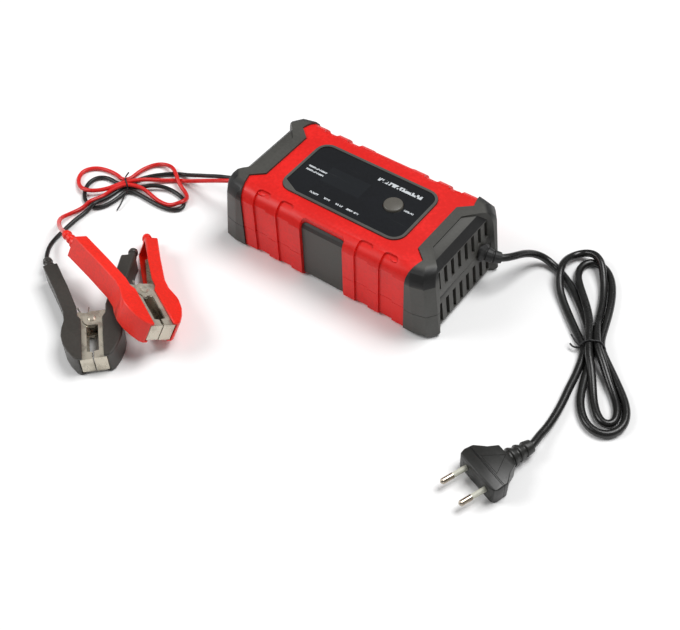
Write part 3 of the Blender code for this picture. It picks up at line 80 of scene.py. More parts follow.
MAINS_FROM_GLAND = [(0.1052, 0.0345, 0.0236), (0.1073, 0.0440, 0.0193), (0.1097, 0.0525, 0.0140),
                    (0.1130, 0.0585, 0.0093), (0.1180, 0.0615, 0.0056), (0.1240, 0.0612, 0.0036)]
MAINS_LOOPS = [
    # in from the gland and through the tie
    (0.1310, 0.0588, 0.0029), (0.1436, 0.0515, 0.0029), (0.1541, 0.0425, 0.0029), (0.1653, 0.0315, 0.0029),
    (0.1740, 0.0210, 0.0031), (0.1830, 0.0085, 0.0036),
    # the outer near loop
    (0.1868, -0.0010, 0.0031), (0.1895, -0.0110, 0.0029), (0.1927, -0.0215, 0.0029),
    (0.1968, -0.0330, 0.0029), (0.2035, -0.0432, 0.0029), (0.2120, -0.0492, 0.0029),
    (0.2205, -0.0495, 0.0029), (0.2262, -0.0450, 0.0029), (0.2288, -0.0370, 0.0029),
    (0.2272, -0.0280, 0.0029), (0.2214, -0.0188, 0.0029), (0.2124, -0.0100, 0.0029),
    (0.2030, -0.0015, 0.0029), (0.1955, 0.0050, 0.0031), (0.1879, 0.0120, 0.0036),
    # the outer far loop
    (0.1840, 0.0205, 0.0031), (0.1808, 0.0320, 0.0029), (0.1757, 0.0495, 0.0029), (0.1681, 0.0667, 0.0029),
    (0.1590, 0.0775, 0.0029), (0.1495, 0.0808, 0.0029), (0.1428, 0.0775, 0.0029), (0.1412, 0.0690, 0.0029),
    (0.1445, 0.0600, 0.0040), (0.1492, 0.0528, 0.0064), (0.1545, 0.0460, 0.0078), (0.1680, 0.0310, 0.0080),
    (0.1750, 0.0180, 0.0084), (0.1805, 0.0075, 0.0086),
    # the inner near loop
    (0.1850, -0.0010, 0.0084), (0.1908, -0.0085, 0.0074), (0.1978, -0.0185, 0.0042),
    (0.2040, -0.0286, 0.0029), (0.2103, -0.0365, 0.0029), (0.2165, -0.0410, 0.0029),
    (0.2215, -0.0395, 0.0029), (0.2227, -0.0340, 0.0029), (0.2196, -0.0262, 0.0029),
    (0.2132, -0.0182, 0.0029), (0.2046, -0.0098, 0.0042), (0.1955, -0.0010, 0.0076),
    (0.1862, 0.0085, 0.0086),
    # the inner far loop
    (0.1815, 0.0165, 0.0082), (0.1776, 0.0250, 0.0062), (0.1748, 0.0330, 0.0036), (0.1705, 0.0470, 0.0029),
    (0.1640, 0.0615, 0.0032), (0.1575, 0.0718, 0.0062), (0.1515, 0.0790, 0.0082), (0.1440, 0.0832, 0.0078),
    (0.1360, 0.0822, 0.0046), (0.1308, 0.0745, 0.0044), (0.1304, 0.0640, 0.0074), (0.1330, 0.0540, 0.0082),
    (0.1380, 0.0450, 0.0052), (0.1450, 0.0368, 0.0030), (0.1590, 0.0235, 0.0029), (0.1705, 0.0130, 0.0031),
    (0.1781, 0.0058, 0.0036),
    # out of the tie towards the plug
    (0.1812, -0.0010, 0.0032), (0.1838, -0.0120, 0.0029), (0.1855, -0.0210, 0.0029),
]
MAINS_TO_PLUG = [(0.1865, -0.0290, 0.0031), (0.1885, -0.0400, 0.0031), (0.1900, -0.0520, 0.0033),
                 (0.1908, -0.0650, 0.0042), (0.1903, -0.0750, 0.0055)]

RED_FROM_GLAND = [(-0.1080, -0.0207, 0.0250), (-0.1180, -0.0212, 0.0203), (-0.1278, -0.0210, 0.0150),
                  (-0.1380, -0.0205, 0.0092), (-0.1460, -0.0204, 0.0048), (-0.1522, -0.0213, 0.0024)]
RED_LOOPS = [
    (-0.1580, -0.0237, 0.0017), (-0.1655, -0.0297, 0.0020), (-0.1725, -0.0357, 0.0036),
    (-0.1785, -0.0420, 0.0048), (-0.1853, -0.0495, 0.0049), (-0.1884, -0.0552, 0.0046),
    (-0.1920, -0.0620, 0.0043), (-0.1970, -0.0685, 0.0043), (-0.2030, -0.0725, 0.0043),
    (-0.2098, -0.0730, 0.0036), (-0.2175, -0.0692, 0.0017), (-0.2227, -0.0635, 0.0016),
    (-0.2245, -0.0563, 0.0016), (-0.2207, -0.0500, 0.0016), (-0.2148, -0.0465, 0.0016),
    (-0.2060, -0.0448, 0.0016), (-0.1985, -0.0452, 0.0017), (-0.1935, -0.0468, 0.0020),
    (-0.1895, -0.0452, 0.0021), (-0.1878, -0.0410, 0.0019), (-0.1880, -0.0340, 0.0017),
    (-0.1866, -0.0262, 0.0017), (-0.1825, -0.0185, 0.0018), (-0.1755, -0.0155, 0.0028),
    (-0.1680, -0.0163, 0.0044), (-0.1615, -0.0195, 0.0047), (-0.1555, -0.0240, 0.0046),
    (-0.1500, -0.0272, 0.0030), (-0.1432, -0.0296, 0.0017), (-0.1372, -0.0338, 0.0022),
    (-0.1352, -0.0392, 0.0040), (-0.1374, -0.0442, 0.0042), (-0.1424, -0.0474, 0.0020),
    (-0.1490, -0.0487, 0.0017), (-0.1570, -0.0482, 0.0017), (-0.1655, -0.0462, 0.0018),
    (-0.1735, -0.0470, 0.0042), (-0.1830, -0.0512, 0.0049), (-0.1862, -0.0560, 0.0046),
    (-0.1888, -0.0620, 0.0042), (-0.1910, -0.0690, 0.0022), (-0.1930, -0.0770, 0.0036),
    (-0.1944, -0.0815, 0.0036),
]
RED_TO_CLAMP = [(-0.1955, -0.0865, 0.0018), (-0.1975, -0.0970, 0.0030), (-0.1960, -0.1080, 0.0080),
                (-0.1870, -0.1170, 0.0150), (-0.1760, -0.1245, 0.0215)]

BLACK_FROM_GLAND = [(-0.1080, -0.0172, 0.0256), (-0.1185, -0.0172, 0.0215), (-0.1290, -0.0167, 0.0160),
                    (-0.1400, -0.0158, 0.0103), (-0.1490, -0.0151, 0.0054), (-0.1560, -0.0153, 0.0024)]
BLACK_LOOPS = [
    (-0.1625, -0.0178, 0.0017), (-0.1704, -0.0242, 0.0017), (-0.1776, -0.0318, 0.0017),
    (-0.1820, -0.0400, 0.0018), (-0.1860, -0.0480, 0.0021), (-0.1905, -0.0520, 0.0018),
    (-0.1970, -0.0515, 0.0016), (-0.2040, -0.0518, 0.0016), (-0.2098, -0.0555, 0.0016),
    (-0.2118, -0.0628, 0.0016), (-0.2085, -0.0712, 0.0016), (-0.2022, -0.0785, 0.0016),
    (-0.1950, -0.0815, 0.0016), (-0.1884, -0.0814, 0.0016), (-0.1842, -0.0775, 0.0016),
    (-0.1818, -0.0700, 0.0016), (-0.1810, -0.0620, 0.0017), (-0.1806, -0.0562, 0.0021),
    (-0.1778, -0.0526, 0.0019), (-0.1725, -0.0516, 0.0016), (-0.1650, -0.0517, 0.0016),
    (-0.1557, -0.0522, 0.0016), (-0.1455, -0.0519, 0.0016), (-0.1385, -0.0500, 0.0016),
    (-0.1338, -0.0457, 0.0016), (-0.1350, -0.0400, 0.0016), (-0.1412, -0.0354, 0.0016),
    (-0.1511, -0.0340, 0.0017), (-0.1599, -0.0358, 0.0030), (-0.1681, -0.0412, 0.0040),
    (-0.1760, -0.0470, 0.0020), (-0.1841, -0.0504, 0.0021), (-0.1866, -0.0560, 0.0018),
    (-0.1874, -0.0660, 0.0017), (-0.1884, -0.0755, 0.0036), (-0.1894, -0.0820, 0.0046),
]
BLACK_TO_CLAMP = [(-0.1905, -0.0870, 0.0018), (-0.1912, -0.1000, 0.0018), (-0.1900, -0.1120, 0.0020),
                  (-0.1880, -0.1230, 0.0030), (-0.1830, -0.1340, 0.0055)]

ROUTE_WIRE = 0.0028             # the battery wires' routes are drawn for this diameter
EASING_PASSES = 10              # passes that ease small kinks out of a lead's line
BOOT_DEPTH = 0.004              # how far inside a boot's tip a lead starts or ends
BATTERY_GLAND_DEPTH = 0.003
BOOT_STRAIGHT = 0.0015          # how far a lead runs on straight past a boot's tip

# a point on each boot's axis and the boot's tip
MAINS_BOOT = ((0.09694, 0.02389, 0.02701), (0.10009, 0.02621, 0.02620))
BATTERY_BOOT = ((-0.09350, -0.01791, 0.02750), (-0.09741, -0.01708, 0.02750))
PLUG_BOOT = ((0.18887, -0.08879, 0.00700), (0.19031, -0.08506, 0.00700))
RED_BOOT = ((-0.15201, -0.13592, 0.03619), (-0.15588, -0.13510, 0.03675))
BLACK_BOOT = ((-0.16881, -0.14703, 0.00880), (-0.17233, -0.14514, 0.00880))

# ---------------------------------------------------------------- plug, in metres back from its front face

PLUG_HEADING = math.radians(-111.0)
PLUG_FRONT = Vector((0.1749, -0.1252, 0.0070))
PLUG_OUT = Vector((math.cos(PLUG_HEADING), math.sin(PLUG_HEADING), 0.0))
PLUG_SIDE = Vector((-PLUG_OUT.y, PLUG_OUT.x, 0.0))
GROOVE_START, GROOVE_END = 0.0074, 0.0084
# painted shade that darkens the plug's groove behind the front block
GROOVE_SHADE = (0.004, 0.004, 0.004)
ARROW_START = 0.0096
ARROW_NARROWING, ARROW_HALF_WIDTH = -0.62, 0.0142
RELIEF_RISE = 0.0004            # over which the plug's relief rises
SLEEVE_LENGTH = 0.0100
SLEEVE_EDGE = 0.0001

# ---------------------------------------------------------------- print on the label: rows and the display

# centre x and y, half length, half height, strokes per metre
PRINTED_ROWS = (
    (-0.0370, 0.0012, 0.0080, 0.0008, 1500.0), (-0.0370, -0.0024, 0.0075, 0.0008, 1500.0),
    (-0.0245, -0.0200, 0.0035, 0.0008, 1500.0), (-0.0135, -0.0200, 0.0025, 0.0008, 1500.0),
    (-0.0030, -0.0200, 0.0030, 0.0008, 1500.0), (0.0080, -0.0200, 0.0050, 0.0008, 1500.0),
    (0.0220, 0.0175, 0.0180, 0.0017, 700.0), (0.0400, 0.0010, 0.0038, 0.0008, 1500.0),
)
DISPLAY_CENTRE, DISPLAY_HALF, DISPLAY_EDGE = (-0.0130, 0.0010), (0.0165, 0.0080), 0.0002
DISPLAY_SHARE = 0.35            # how much of the display's colour shows through the film

# ---------------------------------------------------------------- rounding of the mouldings

WELD = 0.00001                  # points closer than this are one
SLIVER = 0.00004                # edges shorter than this are closed up
FLAT_ANGLE = math.radians(1.0)  # faces that meet at less than this are one
RIM_EDGE, BUTTON_EDGE, PLUG_EDGE, CLAMP_EDGE = 0.0003, 0.00025, 0.0003, 0.00045

# ---------------------------------------------------------------- ties: sections across and up, and tails

TIE_PITCH = 2.2                 # how far along its hank a tie's end passes its start, in radii of its wire
MAINS_TIE_RADIUS, BATTERY_TIE_RADIUS = 0.00065, 0.00055
MAINS_TIE_CENTRE, MAINS_TIE_ACROSS = (0.1830, 0.0085), (0.899, 0.438)
MAINS_TIE_SECTION = [(-0.0087, 0.0036), (-0.0078, 0.0012), (-0.0053, 0.0007), (0.0, 0.0007), (0.0053, 0.0007),
                     (0.0078, 0.0012), (0.0087, 0.0036), (0.0078, 0.0064), (0.0057, 0.0100), (0.0030, 0.0117),
                     (0.0, 0.0118), (-0.0030, 0.0117), (-0.0057, 0.0100), (-0.0078, 0.0064)]
MAINS_TIE_TAILS = [[(0.1750, 0.0050, 0.0052), (0.1728, 0.0052, 0.0062), (0.1702, 0.0062, 0.0072),
                    (0.1672, 0.0082, 0.0078)],
                   [(0.1752, 0.0040, 0.0040), (0.1735, 0.0030, 0.0038), (0.1712, 0.0030, 0.0036),
                    (0.1690, 0.0040, 0.0036)]]
BATTERY_TIE_CENTRE, BATTERY_TIE_ACROSS = (-0.1853, -0.0495), (0.809, -0.588)
BATTERY_TIE_SECTION = [(-0.0064, 0.0024), (-0.0058, 0.0010), (-0.0040, 0.0006), (0.0, 0.0006),
                       (0.0042, 0.0006), (0.0060, 0.0010), (0.0066, 0.0024), (0.0056, 0.0050),
                       (0.0038, 0.0072), (0.0010, 0.0076), (-0.0018, 0.0072), (-0.0044, 0.0050)]
BATTERY_TIE_TAILS = [[(-0.1800, -0.0530, 0.0036), (-0.1788, -0.0560, 0.0040), (-0.1770, -0.0610, 0.0036),
                      (-0.1748, -0.0670, 0.0022), (-0.1731, -0.0735, 0.0012)],
                     [(-0.1802, -0.0536, 0.0046), (-0.1784, -0.0556, 0.0054), (-0.1764, -0.0574, 0.0060),
                      (-0.1746, -0.0596, 0.0066)],
                     [(-0.1898, -0.0455, 0.0050), (-0.1893, -0.0440, 0.0066), (-0.1884, -0.0424, 0.0084)]]
TIES = (("mains_wire_tie", "mains_tie", MAINS_TIE_RADIUS,
         MAINS_TIE_CENTRE, MAINS_TIE_ACROSS, MAINS_TIE_SECTION, MAINS_TIE_TAILS),
        ("battery_wire_tie", "battery_tie", BATTERY_TIE_RADIUS,
         BATTERY_TIE_CENTRE, BATTERY_TIE_ACROSS, BATTERY_TIE_SECTION, BATTERY_TIE_TAILS))

# ---------------------------------------------------------------- settings a user would change


def colour_setting(name, description, default):
    """A colour that a user can change."""
    return FloatVectorProperty(name=name, description=description, subtype="COLOR", default=default,
                               min=0, max=1)


def length_setting(name, description, default, low, high):
    """A length in metres that a user can change."""
    return FloatProperty(name=name, description=description, subtype="DISTANCE", unit="LENGTH",
                         default=default, min=low, max=high)


def angle_setting(name, description, degrees):
    """An angle that a user can change."""
    return FloatProperty(name=name, description=description, subtype="ANGLE", unit="ROTATION",
                         default=math.radians(degrees))


class CaseSettings(bpy.types.PropertyGroup):
    """Finish of the moulded case."""
    red: colour_setting("Red", "Colour of the middle covers", (0.71, 0.009, 0.006))
    grey: colour_setting("Grey", "Colour of the end caps and side grips", (0.056, 0.055, 0.049))
    # the facet colour is painted shade: the caps' slanted facets are darkened in their colour for the dark
    # surroundings they reflect
    facet_shade: colour_setting("Facet", "Colour of the smooth slanted facets of the caps", (0.005, 0.005, 0.005))
    edge_radius: length_setting("Edge radius", "Rounding of the moulded edges", 0.00045, 0.0001, 0.001)
    grain: FloatProperty(name="Grain", description="Grains of the moulded texture per metre", default=1400.0,
                         min=200.0, max=6000.0)


class PanelSettings(bpy.types.PropertyGroup):
    """Finish of the label panel."""
    film: colour_setting("Film", "Colour of the printed film", (0.0055, 0.0065, 0.0085))
    display: colour_setting("Display", "Colour of the unlit display", (0.014, 0.017, 0.020))
    marks: colour_setting("Marks", "Colour of the printed marks", (0.55, 0.58, 0.60))
    button: colour_setting("Button", "Colour of the mode button", (0.088, 0.082, 0.070))


class LeadSettings(bpy.types.PropertyGroup):
    """Sizes and colours of the leads."""
    mains_diameter: length_setting("Mains lead", "Diameter of the mains lead", 0.0054, 0.004, 0.009)
    wire_diameter: length_setting("Battery wire", "Diameter of each battery wire", 0.0032, 0.0015, 0.005)
    black: colour_setting("Black", "Colour of the black sheaths", (0.0065, 0.0065, 0.0062))
    red: colour_setting("Red", "Colour of the red wire", (0.62, 0.010, 0.008))
    steps: IntProperty(name="Steps", description="Points added between two route points", default=6,
                       min=2, max=12)


class ClampSettings(bpy.types.PropertyGroup):
    """Colours of the clamps and of the plug."""
    red: colour_setting("Red", "Colour of the red clamp's covers", (0.84, 0.014, 0.003))
    black: colour_setting("Black", "Colour of the black clamp's covers", (0.042, 0.038, 0.033))
    metal: colour_setting("Metal", "Colour of the plated jaws", (0.62, 0.57, 0.47))
    plug: colour_setting("Plug", "Colour of the plug's body", (0.015, 0.015, 0.0135))


class StageSettings(bpy.types.PropertyGroup):
    """Camera and light."""
    azimuth: angle_setting("Azimuth", "Camera's turn about the charger", 37.86)
    elevation: angle_setting("Elevation", "Camera's height angle", 48.77)
    roll: angle_setting("Roll", "Camera's turn about its own axis", -2.2)
    distance: length_setting("Distance", "Camera to the point it looks at", 0.8053, 0.2, 5.0)
    aim: FloatVectorProperty(name="Aim", description="Point the camera looks at", subtype="XYZ",
                             unit="LENGTH", default=(0.02616, -0.06115, 0.0))
    lens: FloatProperty(name="Lens", description="Focal length in millimetres", default=61.72, min=10)
    floor: colour_setting("Floor", "Colour of the floor", (0.94, 0.94, 0.94))
    back_light: FloatProperty(name="Back light", description="Power of the panel above and behind, in watts",
                              default=27.0, min=0)
    key_light: FloatProperty(name="Key light", description="Power of the panel at the front left, in watts",
                             default=12.0, min=0)
    world: FloatProperty(name="Surroundings", description="Strength of the even light from all round",
                         default=0.235, min=0)


# ---------------------------------------------------------------- shader building


class Wiring:
    """Adds nodes to a tree and joins them up."""

    def __init__(self, tree):
        self.tree = tree

    def add(self, kind, **settings):
        """A node of the kind, with its settings."""
        node = self.tree.nodes.new(kind)
        for key, value in settings.items():
            setattr(node, key, value)
        return node

    def feed(self, socket, value):
        """Give a socket a value, or join it to another node's output."""
        if isinstance(value, bpy.types.NodeSocket):
            self.tree.links.new(value, socket)
        else:
            socket.default_value = value

    def math(self, operation, first, second=0.0, third=0.0, clamp=False):
        """A Math node's result."""
        node = self.add("ShaderNodeMath", operation=operation, use_clamp=clamp)
        for socket, value in zip(node.inputs, (first, second, third)):
            self.feed(socket, value)
        return node.outputs[0]

    def mix(self, share, first, second, blend="MIX"):
        """Two colours mixed by a share."""
        node = self.add("ShaderNodeMix", data_type="RGBA", blend_type=blend)
        self.feed(node.inputs["Factor"], share)
        for name, value in (("A", first), ("B", second)):
            socket = next(s for s in node.inputs if s.name == name and s.type == "RGBA")
            self.feed(socket, value if isinstance(value, bpy.types.NodeSocket) else (*value, 1.0))
        return next(s for s in node.outputs if s.type == "RGBA")

    def ramp(self, value, low, high, out_low=0.0, out_high=1.0):
        """A smooth step between two values."""
        node = self.add("ShaderNodeMapRange", interpolation_type="SMOOTHSTEP")
        for socket, number in zip(node.inputs, (value, low, high, out_low, out_high)):
            self.feed(socket, number)
        return node.outputs[0]

    def noise(self, vector, scale, detail=2.0, roughness=0.5):
        """A noise value of about one half."""
        node = self.add("ShaderNodeTexNoise")
        self.feed(node.inputs["Vector"], vector)
        self.feed(node.inputs["Scale"], scale)
        node.inputs["Detail"].default_value = detail
        node.inputs["Roughness"].default_value = roughness
        return node.outputs["Fac"]

    def group(self, tree, **values):
        """A shader group's node, with its inputs by name."""
        node = self.add("ShaderNodeGroup", node_tree=tree)
        for name, value in values.items():
            self.feed(node.inputs[name.replace("_", " ").title()], value)
        return node.outputs


def shader_group(name, inputs, outputs, build):
    """A node group with named sockets, made once."""
    tree = bpy.data.node_groups.get(name)
    if tree:
        return tree
    tree = bpy.data.node_groups.new(name, "ShaderNodeTree")
    for title, kind in inputs:
        tree.interface.new_socket(title, in_out="INPUT", socket_type="NodeSocket" + kind)
    for title, kind in outputs:
        tree.interface.new_socket(title, in_out="OUTPUT", socket_type="NodeSocket" + kind)
    wiring = Wiring(tree)
    entry, leave = wiring.add("NodeGroupInput"), wiring.add("NodeGroupOutput")
    for title, value in build(wiring, entry.outputs).items():
        wiring.feed(leave.inputs[title], value)
    return tree


def moulding_grain():
    """Fine spark-eroded grain with slow changes of tone, as on moulded plastic."""
    def build(w, entry):
        fine = w.noise(entry["Vector"], entry["Scale"], 3.0, 0.6)
        slow = w.noise(entry["Vector"], 22.0, 3.0, 0.55)
        speck = w.noise(entry["Vector"], w.math("MULTIPLY", entry["Scale"], 0.35), 1.0)
        tone = w.math("ADD", w.math("MULTIPLY", slow, 0.6), w.math("MULTIPLY", speck, 0.4), clamp=True)
        return {"Height": fine, "Tone": w.ramp(tone, 0.38, 0.62)}
    return shader_group("Moulding Grain", [("Vector", "Vector"), ("Scale", "Float")],
                        [("Height", "Float"), ("Tone", "Float")], build)


def handling_marks():
    """Faint rubbed streaks and smudges from being handled."""
    def build(w, entry):
        stretch = w.add("ShaderNodeMapping")
        w.feed(stretch.inputs["Vector"], entry["Vector"])
        stretch.inputs["Rotation"].default_value = (0.3, 0.2, 0.7)
        stretch.inputs["Scale"].default_value = (1.0, 9.0, 3.0)
        streak = w.noise(stretch.outputs[0], entry["Scale"], 4.0, 0.65)
        smudge = w.noise(entry["Vector"], w.math("MULTIPLY", entry["Scale"], 0.5), 2.0)
        return {"Rub": w.math("MULTIPLY", w.ramp(streak, 0.56, 0.74), w.ramp(smudge, 0.42, 0.62))}
    return shader_group("Handling Marks", [("Vector", "Vector"), ("Scale", "Float")], [("Rub", "Float")],
                        build)


def slant_shade_mask():
    """One on faces that lean between level and upright, such as chamfers and shoulders, which get painted
    shade.
    """
    def build(w, entry):
        parts = w.add("ShaderNodeSeparateXYZ")
        w.feed(parts.inputs[0], entry["Normal"])
        up = parts.outputs["Z"]
        steep = w.ramp(up, 0.16, 0.34)
        level = w.ramp(up, 0.90, 0.985)
        return {"Slant": w.math("SUBTRACT", steep, level, clamp=True)}
    return shader_group("Slant Mask", [("Normal", "Vector")], [("Slant", "Float")], build)


def printed_line():
    """A row of printed strokes in a narrow box on the X-Y plane."""
    def build(w, entry):
        parts = w.add("ShaderNodeSeparateXYZ")
        w.feed(parts.inputs[0], entry["Vector"])
        across = w.math("SUBTRACT", parts.outputs["X"], entry["Centre X"])
        along = w.math("SUBTRACT", parts.outputs["Y"], entry["Centre Y"])
        inside_x = w.math("LESS_THAN", w.math("ABSOLUTE", across), entry["Half Length"])
        inside_y = w.math("LESS_THAN", w.math("ABSOLUTE", along), entry["Half Height"])
        place = w.add("ShaderNodeCombineXYZ")
        w.feed(place.inputs["X"], w.math("MULTIPLY", across, entry["Strokes"]))
        w.feed(place.inputs["Y"], w.math("MULTIPLY", along, w.math("MULTIPLY", entry["Strokes"], 0.45)))
        w.feed(place.inputs["Z"], w.math("MULTIPLY", entry["Centre X"], 900.0))
        stroke = w.ramp(w.noise(place.outputs[0], 1.0, 1.0, 0.4), 0.44, 0.50)
        return {"Mask": w.math("MULTIPLY", w.math("MULTIPLY", inside_x, inside_y), stroke)}
    numbers = ("Centre X", "Centre Y", "Half Length", "Half Height", "Strokes")
    return shader_group("Printed Line", [("Vector", "Vector"), *((title, "Float") for title in numbers)],
                        [("Mask", "Float")], build)


def fresh_material(name):
    """A material with only its shader and output, and its wiring."""
    made = bpy.data.materials.new(name)
    made.use_nodes = True
    return made, Wiring(made.node_tree), made.node_tree.nodes["Principled BSDF"]


def object_place(w):
    """Object coordinates."""
    return w.add("ShaderNodeTexCoord").outputs["Object"]


def bumped(w, shader, height, strength, distance):
    """Feed a height to the shader's normal."""
    bump = w.add("ShaderNodeBump")
    bump.inputs["Strength"].default_value = strength
    bump.inputs["Distance"].default_value = distance
    w.feed(bump.inputs["Height"], height)
    w.feed(shader.inputs["Normal"], bump.outputs[0])


def scaled(colour, share):
    """A colour made lighter or darker."""
    return tuple(min(1.0, channel * share) for channel in colour)


def moulded(name, colour, roughness=0.45, grain=1400.0, relief=0.25, slant_shade_colour=None, slant_shade_share=1.0,
            specular=0.5):
    """Moulded plastic with grain, slow tone changes and rubbed marks, and painted shade on slanted faces for
    the dark surroundings they reflect.
    """
    made, w, shader = fresh_material(name)
    place = object_place(w)
    fine = w.group(moulding_grain(), vector=place, scale=grain)
    rub = w.group(handling_marks(), vector=place, scale=26.0)["Rub"]
    base = w.mix(fine["Tone"], scaled(colour, 0.90), scaled(colour, 1.08))
    if slant_shade_colour:
        normal = w.add("ShaderNodeNewGeometry").outputs["Normal"]
        shade_on_slant = w.group(slant_shade_mask(), normal=normal)["Slant"]
        # painted shade: slanted faces take the darker slant colour
        base = w.mix(w.math("MULTIPLY", shade_on_slant, slant_shade_share), base, slant_shade_colour)
    worn = tuple(channel * 0.85 + 0.02 for channel in colour)
    base = w.mix(w.math("MULTIPLY", rub, 0.35), base, worn)
    w.feed(shader.inputs["Base Color"], base)
    rough = w.math("ADD", w.math("MULTIPLY", fine["Tone"], 0.06), roughness - 0.03)
    w.feed(shader.inputs["Roughness"], w.math("SUBTRACT", rough, w.math("MULTIPLY", rub, 0.10), clamp=True))
    shader.inputs["Specular IOR Level"].default_value = specular
    bumped(w, shader, fine["Height"], relief, 0.00012)
    return made


def sheathed(name, colour, roughness=0.38):
    """A flexible sheath: soft sheen, faint dust and a slight ripple along it."""
    made, w, shader = fresh_material(name)
    place = object_place(w)
    fine = w.group(moulding_grain(), vector=place, scale=2600.0)
    dust = w.ramp(w.noise(place, 160.0, 4.0, 0.7), 0.55, 0.75)
    base = w.mix(fine["Tone"], scaled(colour, 0.85), scaled(colour, 1.15))
    pale = tuple(channel * 0.8 + 0.014 for channel in colour)
    w.feed(shader.inputs["Base Color"], w.mix(w.math("MULTIPLY", dust, 0.5), base, pale))
    w.feed(shader.inputs["Roughness"], w.ramp(fine["Tone"], 0.0, 1.0, roughness - 0.05, roughness + 0.07))
    ripple = w.math("ADD", w.noise(place, 90.0, 2.0), w.math("MULTIPLY", fine["Height"], 0.25))
    bumped(w, shader, ripple, 0.30, 0.0004)
    return made


def plated(name, colour, roughness=0.30, brush=900.0):
    """Plated sheet metal: drawn lines, tarnish in patches and bright rubbed spots."""
    made, w, shader = fresh_material(name)
    place = object_place(w)
    stretch = w.add("ShaderNodeMapping")
    w.feed(stretch.inputs["Vector"], place)
    stretch.inputs["Rotation"].default_value = (0.0, 0.0, 0.77)
    stretch.inputs["Scale"].default_value = (0.12, 1.0, 1.0)
    lines = w.noise(stretch.outputs[0], brush, 3.0, 0.6)
    tarnish = w.ramp(w.noise(place, 120.0, 4.0, 0.6), 0.45, 0.68)
    rub = w.group(handling_marks(), vector=place, scale=60.0)["Rub"]
    base = w.mix(tarnish, colour, scaled(colour, 0.72))
    w.feed(shader.inputs["Base Color"], w.mix(rub, base, scaled(colour, 1.25)))
    w.feed(shader.inputs["Roughness"], w.ramp(w.math("ADD", w.math("MULTIPLY", lines, 0.5),
                                                     w.math("MULTIPLY", tarnish, 0.5)),
                                              0.2, 0.8, roughness - 0.08, roughness + 0.14))
    w.feed(shader.inputs["Metallic"], w.ramp(tarnish, 0.0, 1.0, 0.55, 0.95))
    bumped(w, shader, lines, 0.18, 0.0001)
    return made


# ---------------------------------------------------------------- piece helpers


def body_of(node):
    """The body a CAD node rides on."""
    return NODES[node]["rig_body"]


def finish_nodes(finish, *nodes):
    """Give carried-over nodes their finish."""
    for node in nodes:
        slots = NODES[node].data.materials
        slots.clear()
        slots.append(finish)


def rounded_copy(node, radius, segments, finish, angle=32):
    """A copy of a node with its edges rounded, which stands for it."""
    source = NODES[node]
    work = bmesh.new()
    work.from_mesh(source.data)
    bmesh.ops.remove_doubles(work, verts=work.verts, dist=WELD)
    bmesh.ops.dissolve_limit(work, angle_limit=FLAT_ANGLE, verts=work.verts, edges=work.edges)
    bmesh.ops.dissolve_degenerate(work, edges=work.edges, dist=SLIVER)
    data = bpy.data.meshes.new(node + "_moulding")
    work.to_mesh(data)
    work.free()
    data.materials.append(finish)
    data.shade_smooth()
    data.set_sharp_from_angle(angle=math.radians(angle))
    piece = bpy.data.objects.new(node + "_moulding", data)
    bpy.context.scene.collection.objects.link(piece)
    bevel = piece.modifiers.new("Rounded edges", "BEVEL")
    bevel.width, bevel.segments = radius, segments
    bevel.limit_method, bevel.angle_limit = "ANGLE", math.radians(angle)
    bevel.harden_normals = True
    bevel.use_clamp_overlap = True
    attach(piece, body_of(node))
    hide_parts(node)
    return piece


def smooth_path(points, steps):
    """A smooth curve through the points, with some points added between each two."""
    knots = [Vector(p) for p in points]
    knots = [2 * knots[0] - knots[1]] + knots + [2 * knots[-1] - knots[-2]]
    path = []
    for a, b, c, d in zip(knots, knots[1:], knots[2:], knots[3:]):
        for step in range(steps):
            t = step / steps
            path.append(0.5 * (2 * b + (c - a) * t + (2 * a - 5 * b + 4 * c - d) * t ** 2
                               + (3 * b - a - 3 * c + d) * t ** 3))
    path.append(knots[-2])
    return path


def relaxed(path, passes):
    """The same line with small kinks eased out and its ends kept."""
    for _ in range(passes):
        inner = [(a + 2 * b + c) / 4 for a, b, c in zip(path, path[1:], path[2:])]
        path = [path[0]] + inner + [path[-1]]
    return path


def tubes(name, paths, radius, finish, resolution):
    """Round tubes along open lines, as one piece that rides on the case."""
    curve = bpy.data.curves.new(name, "CURVE")
    curve.dimensions = "3D"
    curve.bevel_depth, curve.bevel_resolution = radius, resolution
    curve.use_fill_caps = True
    for path in paths:
        line = curve.splines.new("POLY")
        line.points.add(len(path) - 1)
        for point, place in zip(line.points, path):
            point.co = (*place, 1.0)
        line.use_smooth = True
    curve.materials.append(finish)
    piece = bpy.data.objects.new(name, curve)
    bpy.context.scene.collection.objects.link(piece)
    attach(piece, CASE)
    return piece


def raised(route, share):
    """A route whose heights are scaled, for a lead of another thickness lying on the floor."""
    return [(x, y, z * share) for x, y, z in route]


def boot_axis(node, seat, tip, depth):
    """Two points that carry a lead out of a boot along its axis, from a depth inside its tip."""
    seat, tip = Vector(seat), Vector(tip)
    heading = (tip - seat).normalized()
    low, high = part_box(node)
    if not all(low[i] - 0.001 <= tip[i] <= high[i] + 0.001 for i in range(3)):
        raise RuntimeError(f"the tip is not on {node}")
    return [tip - heading * depth, tip + heading * BOOT_STRAIGHT]


# ---------------------------------------------------------------- operators


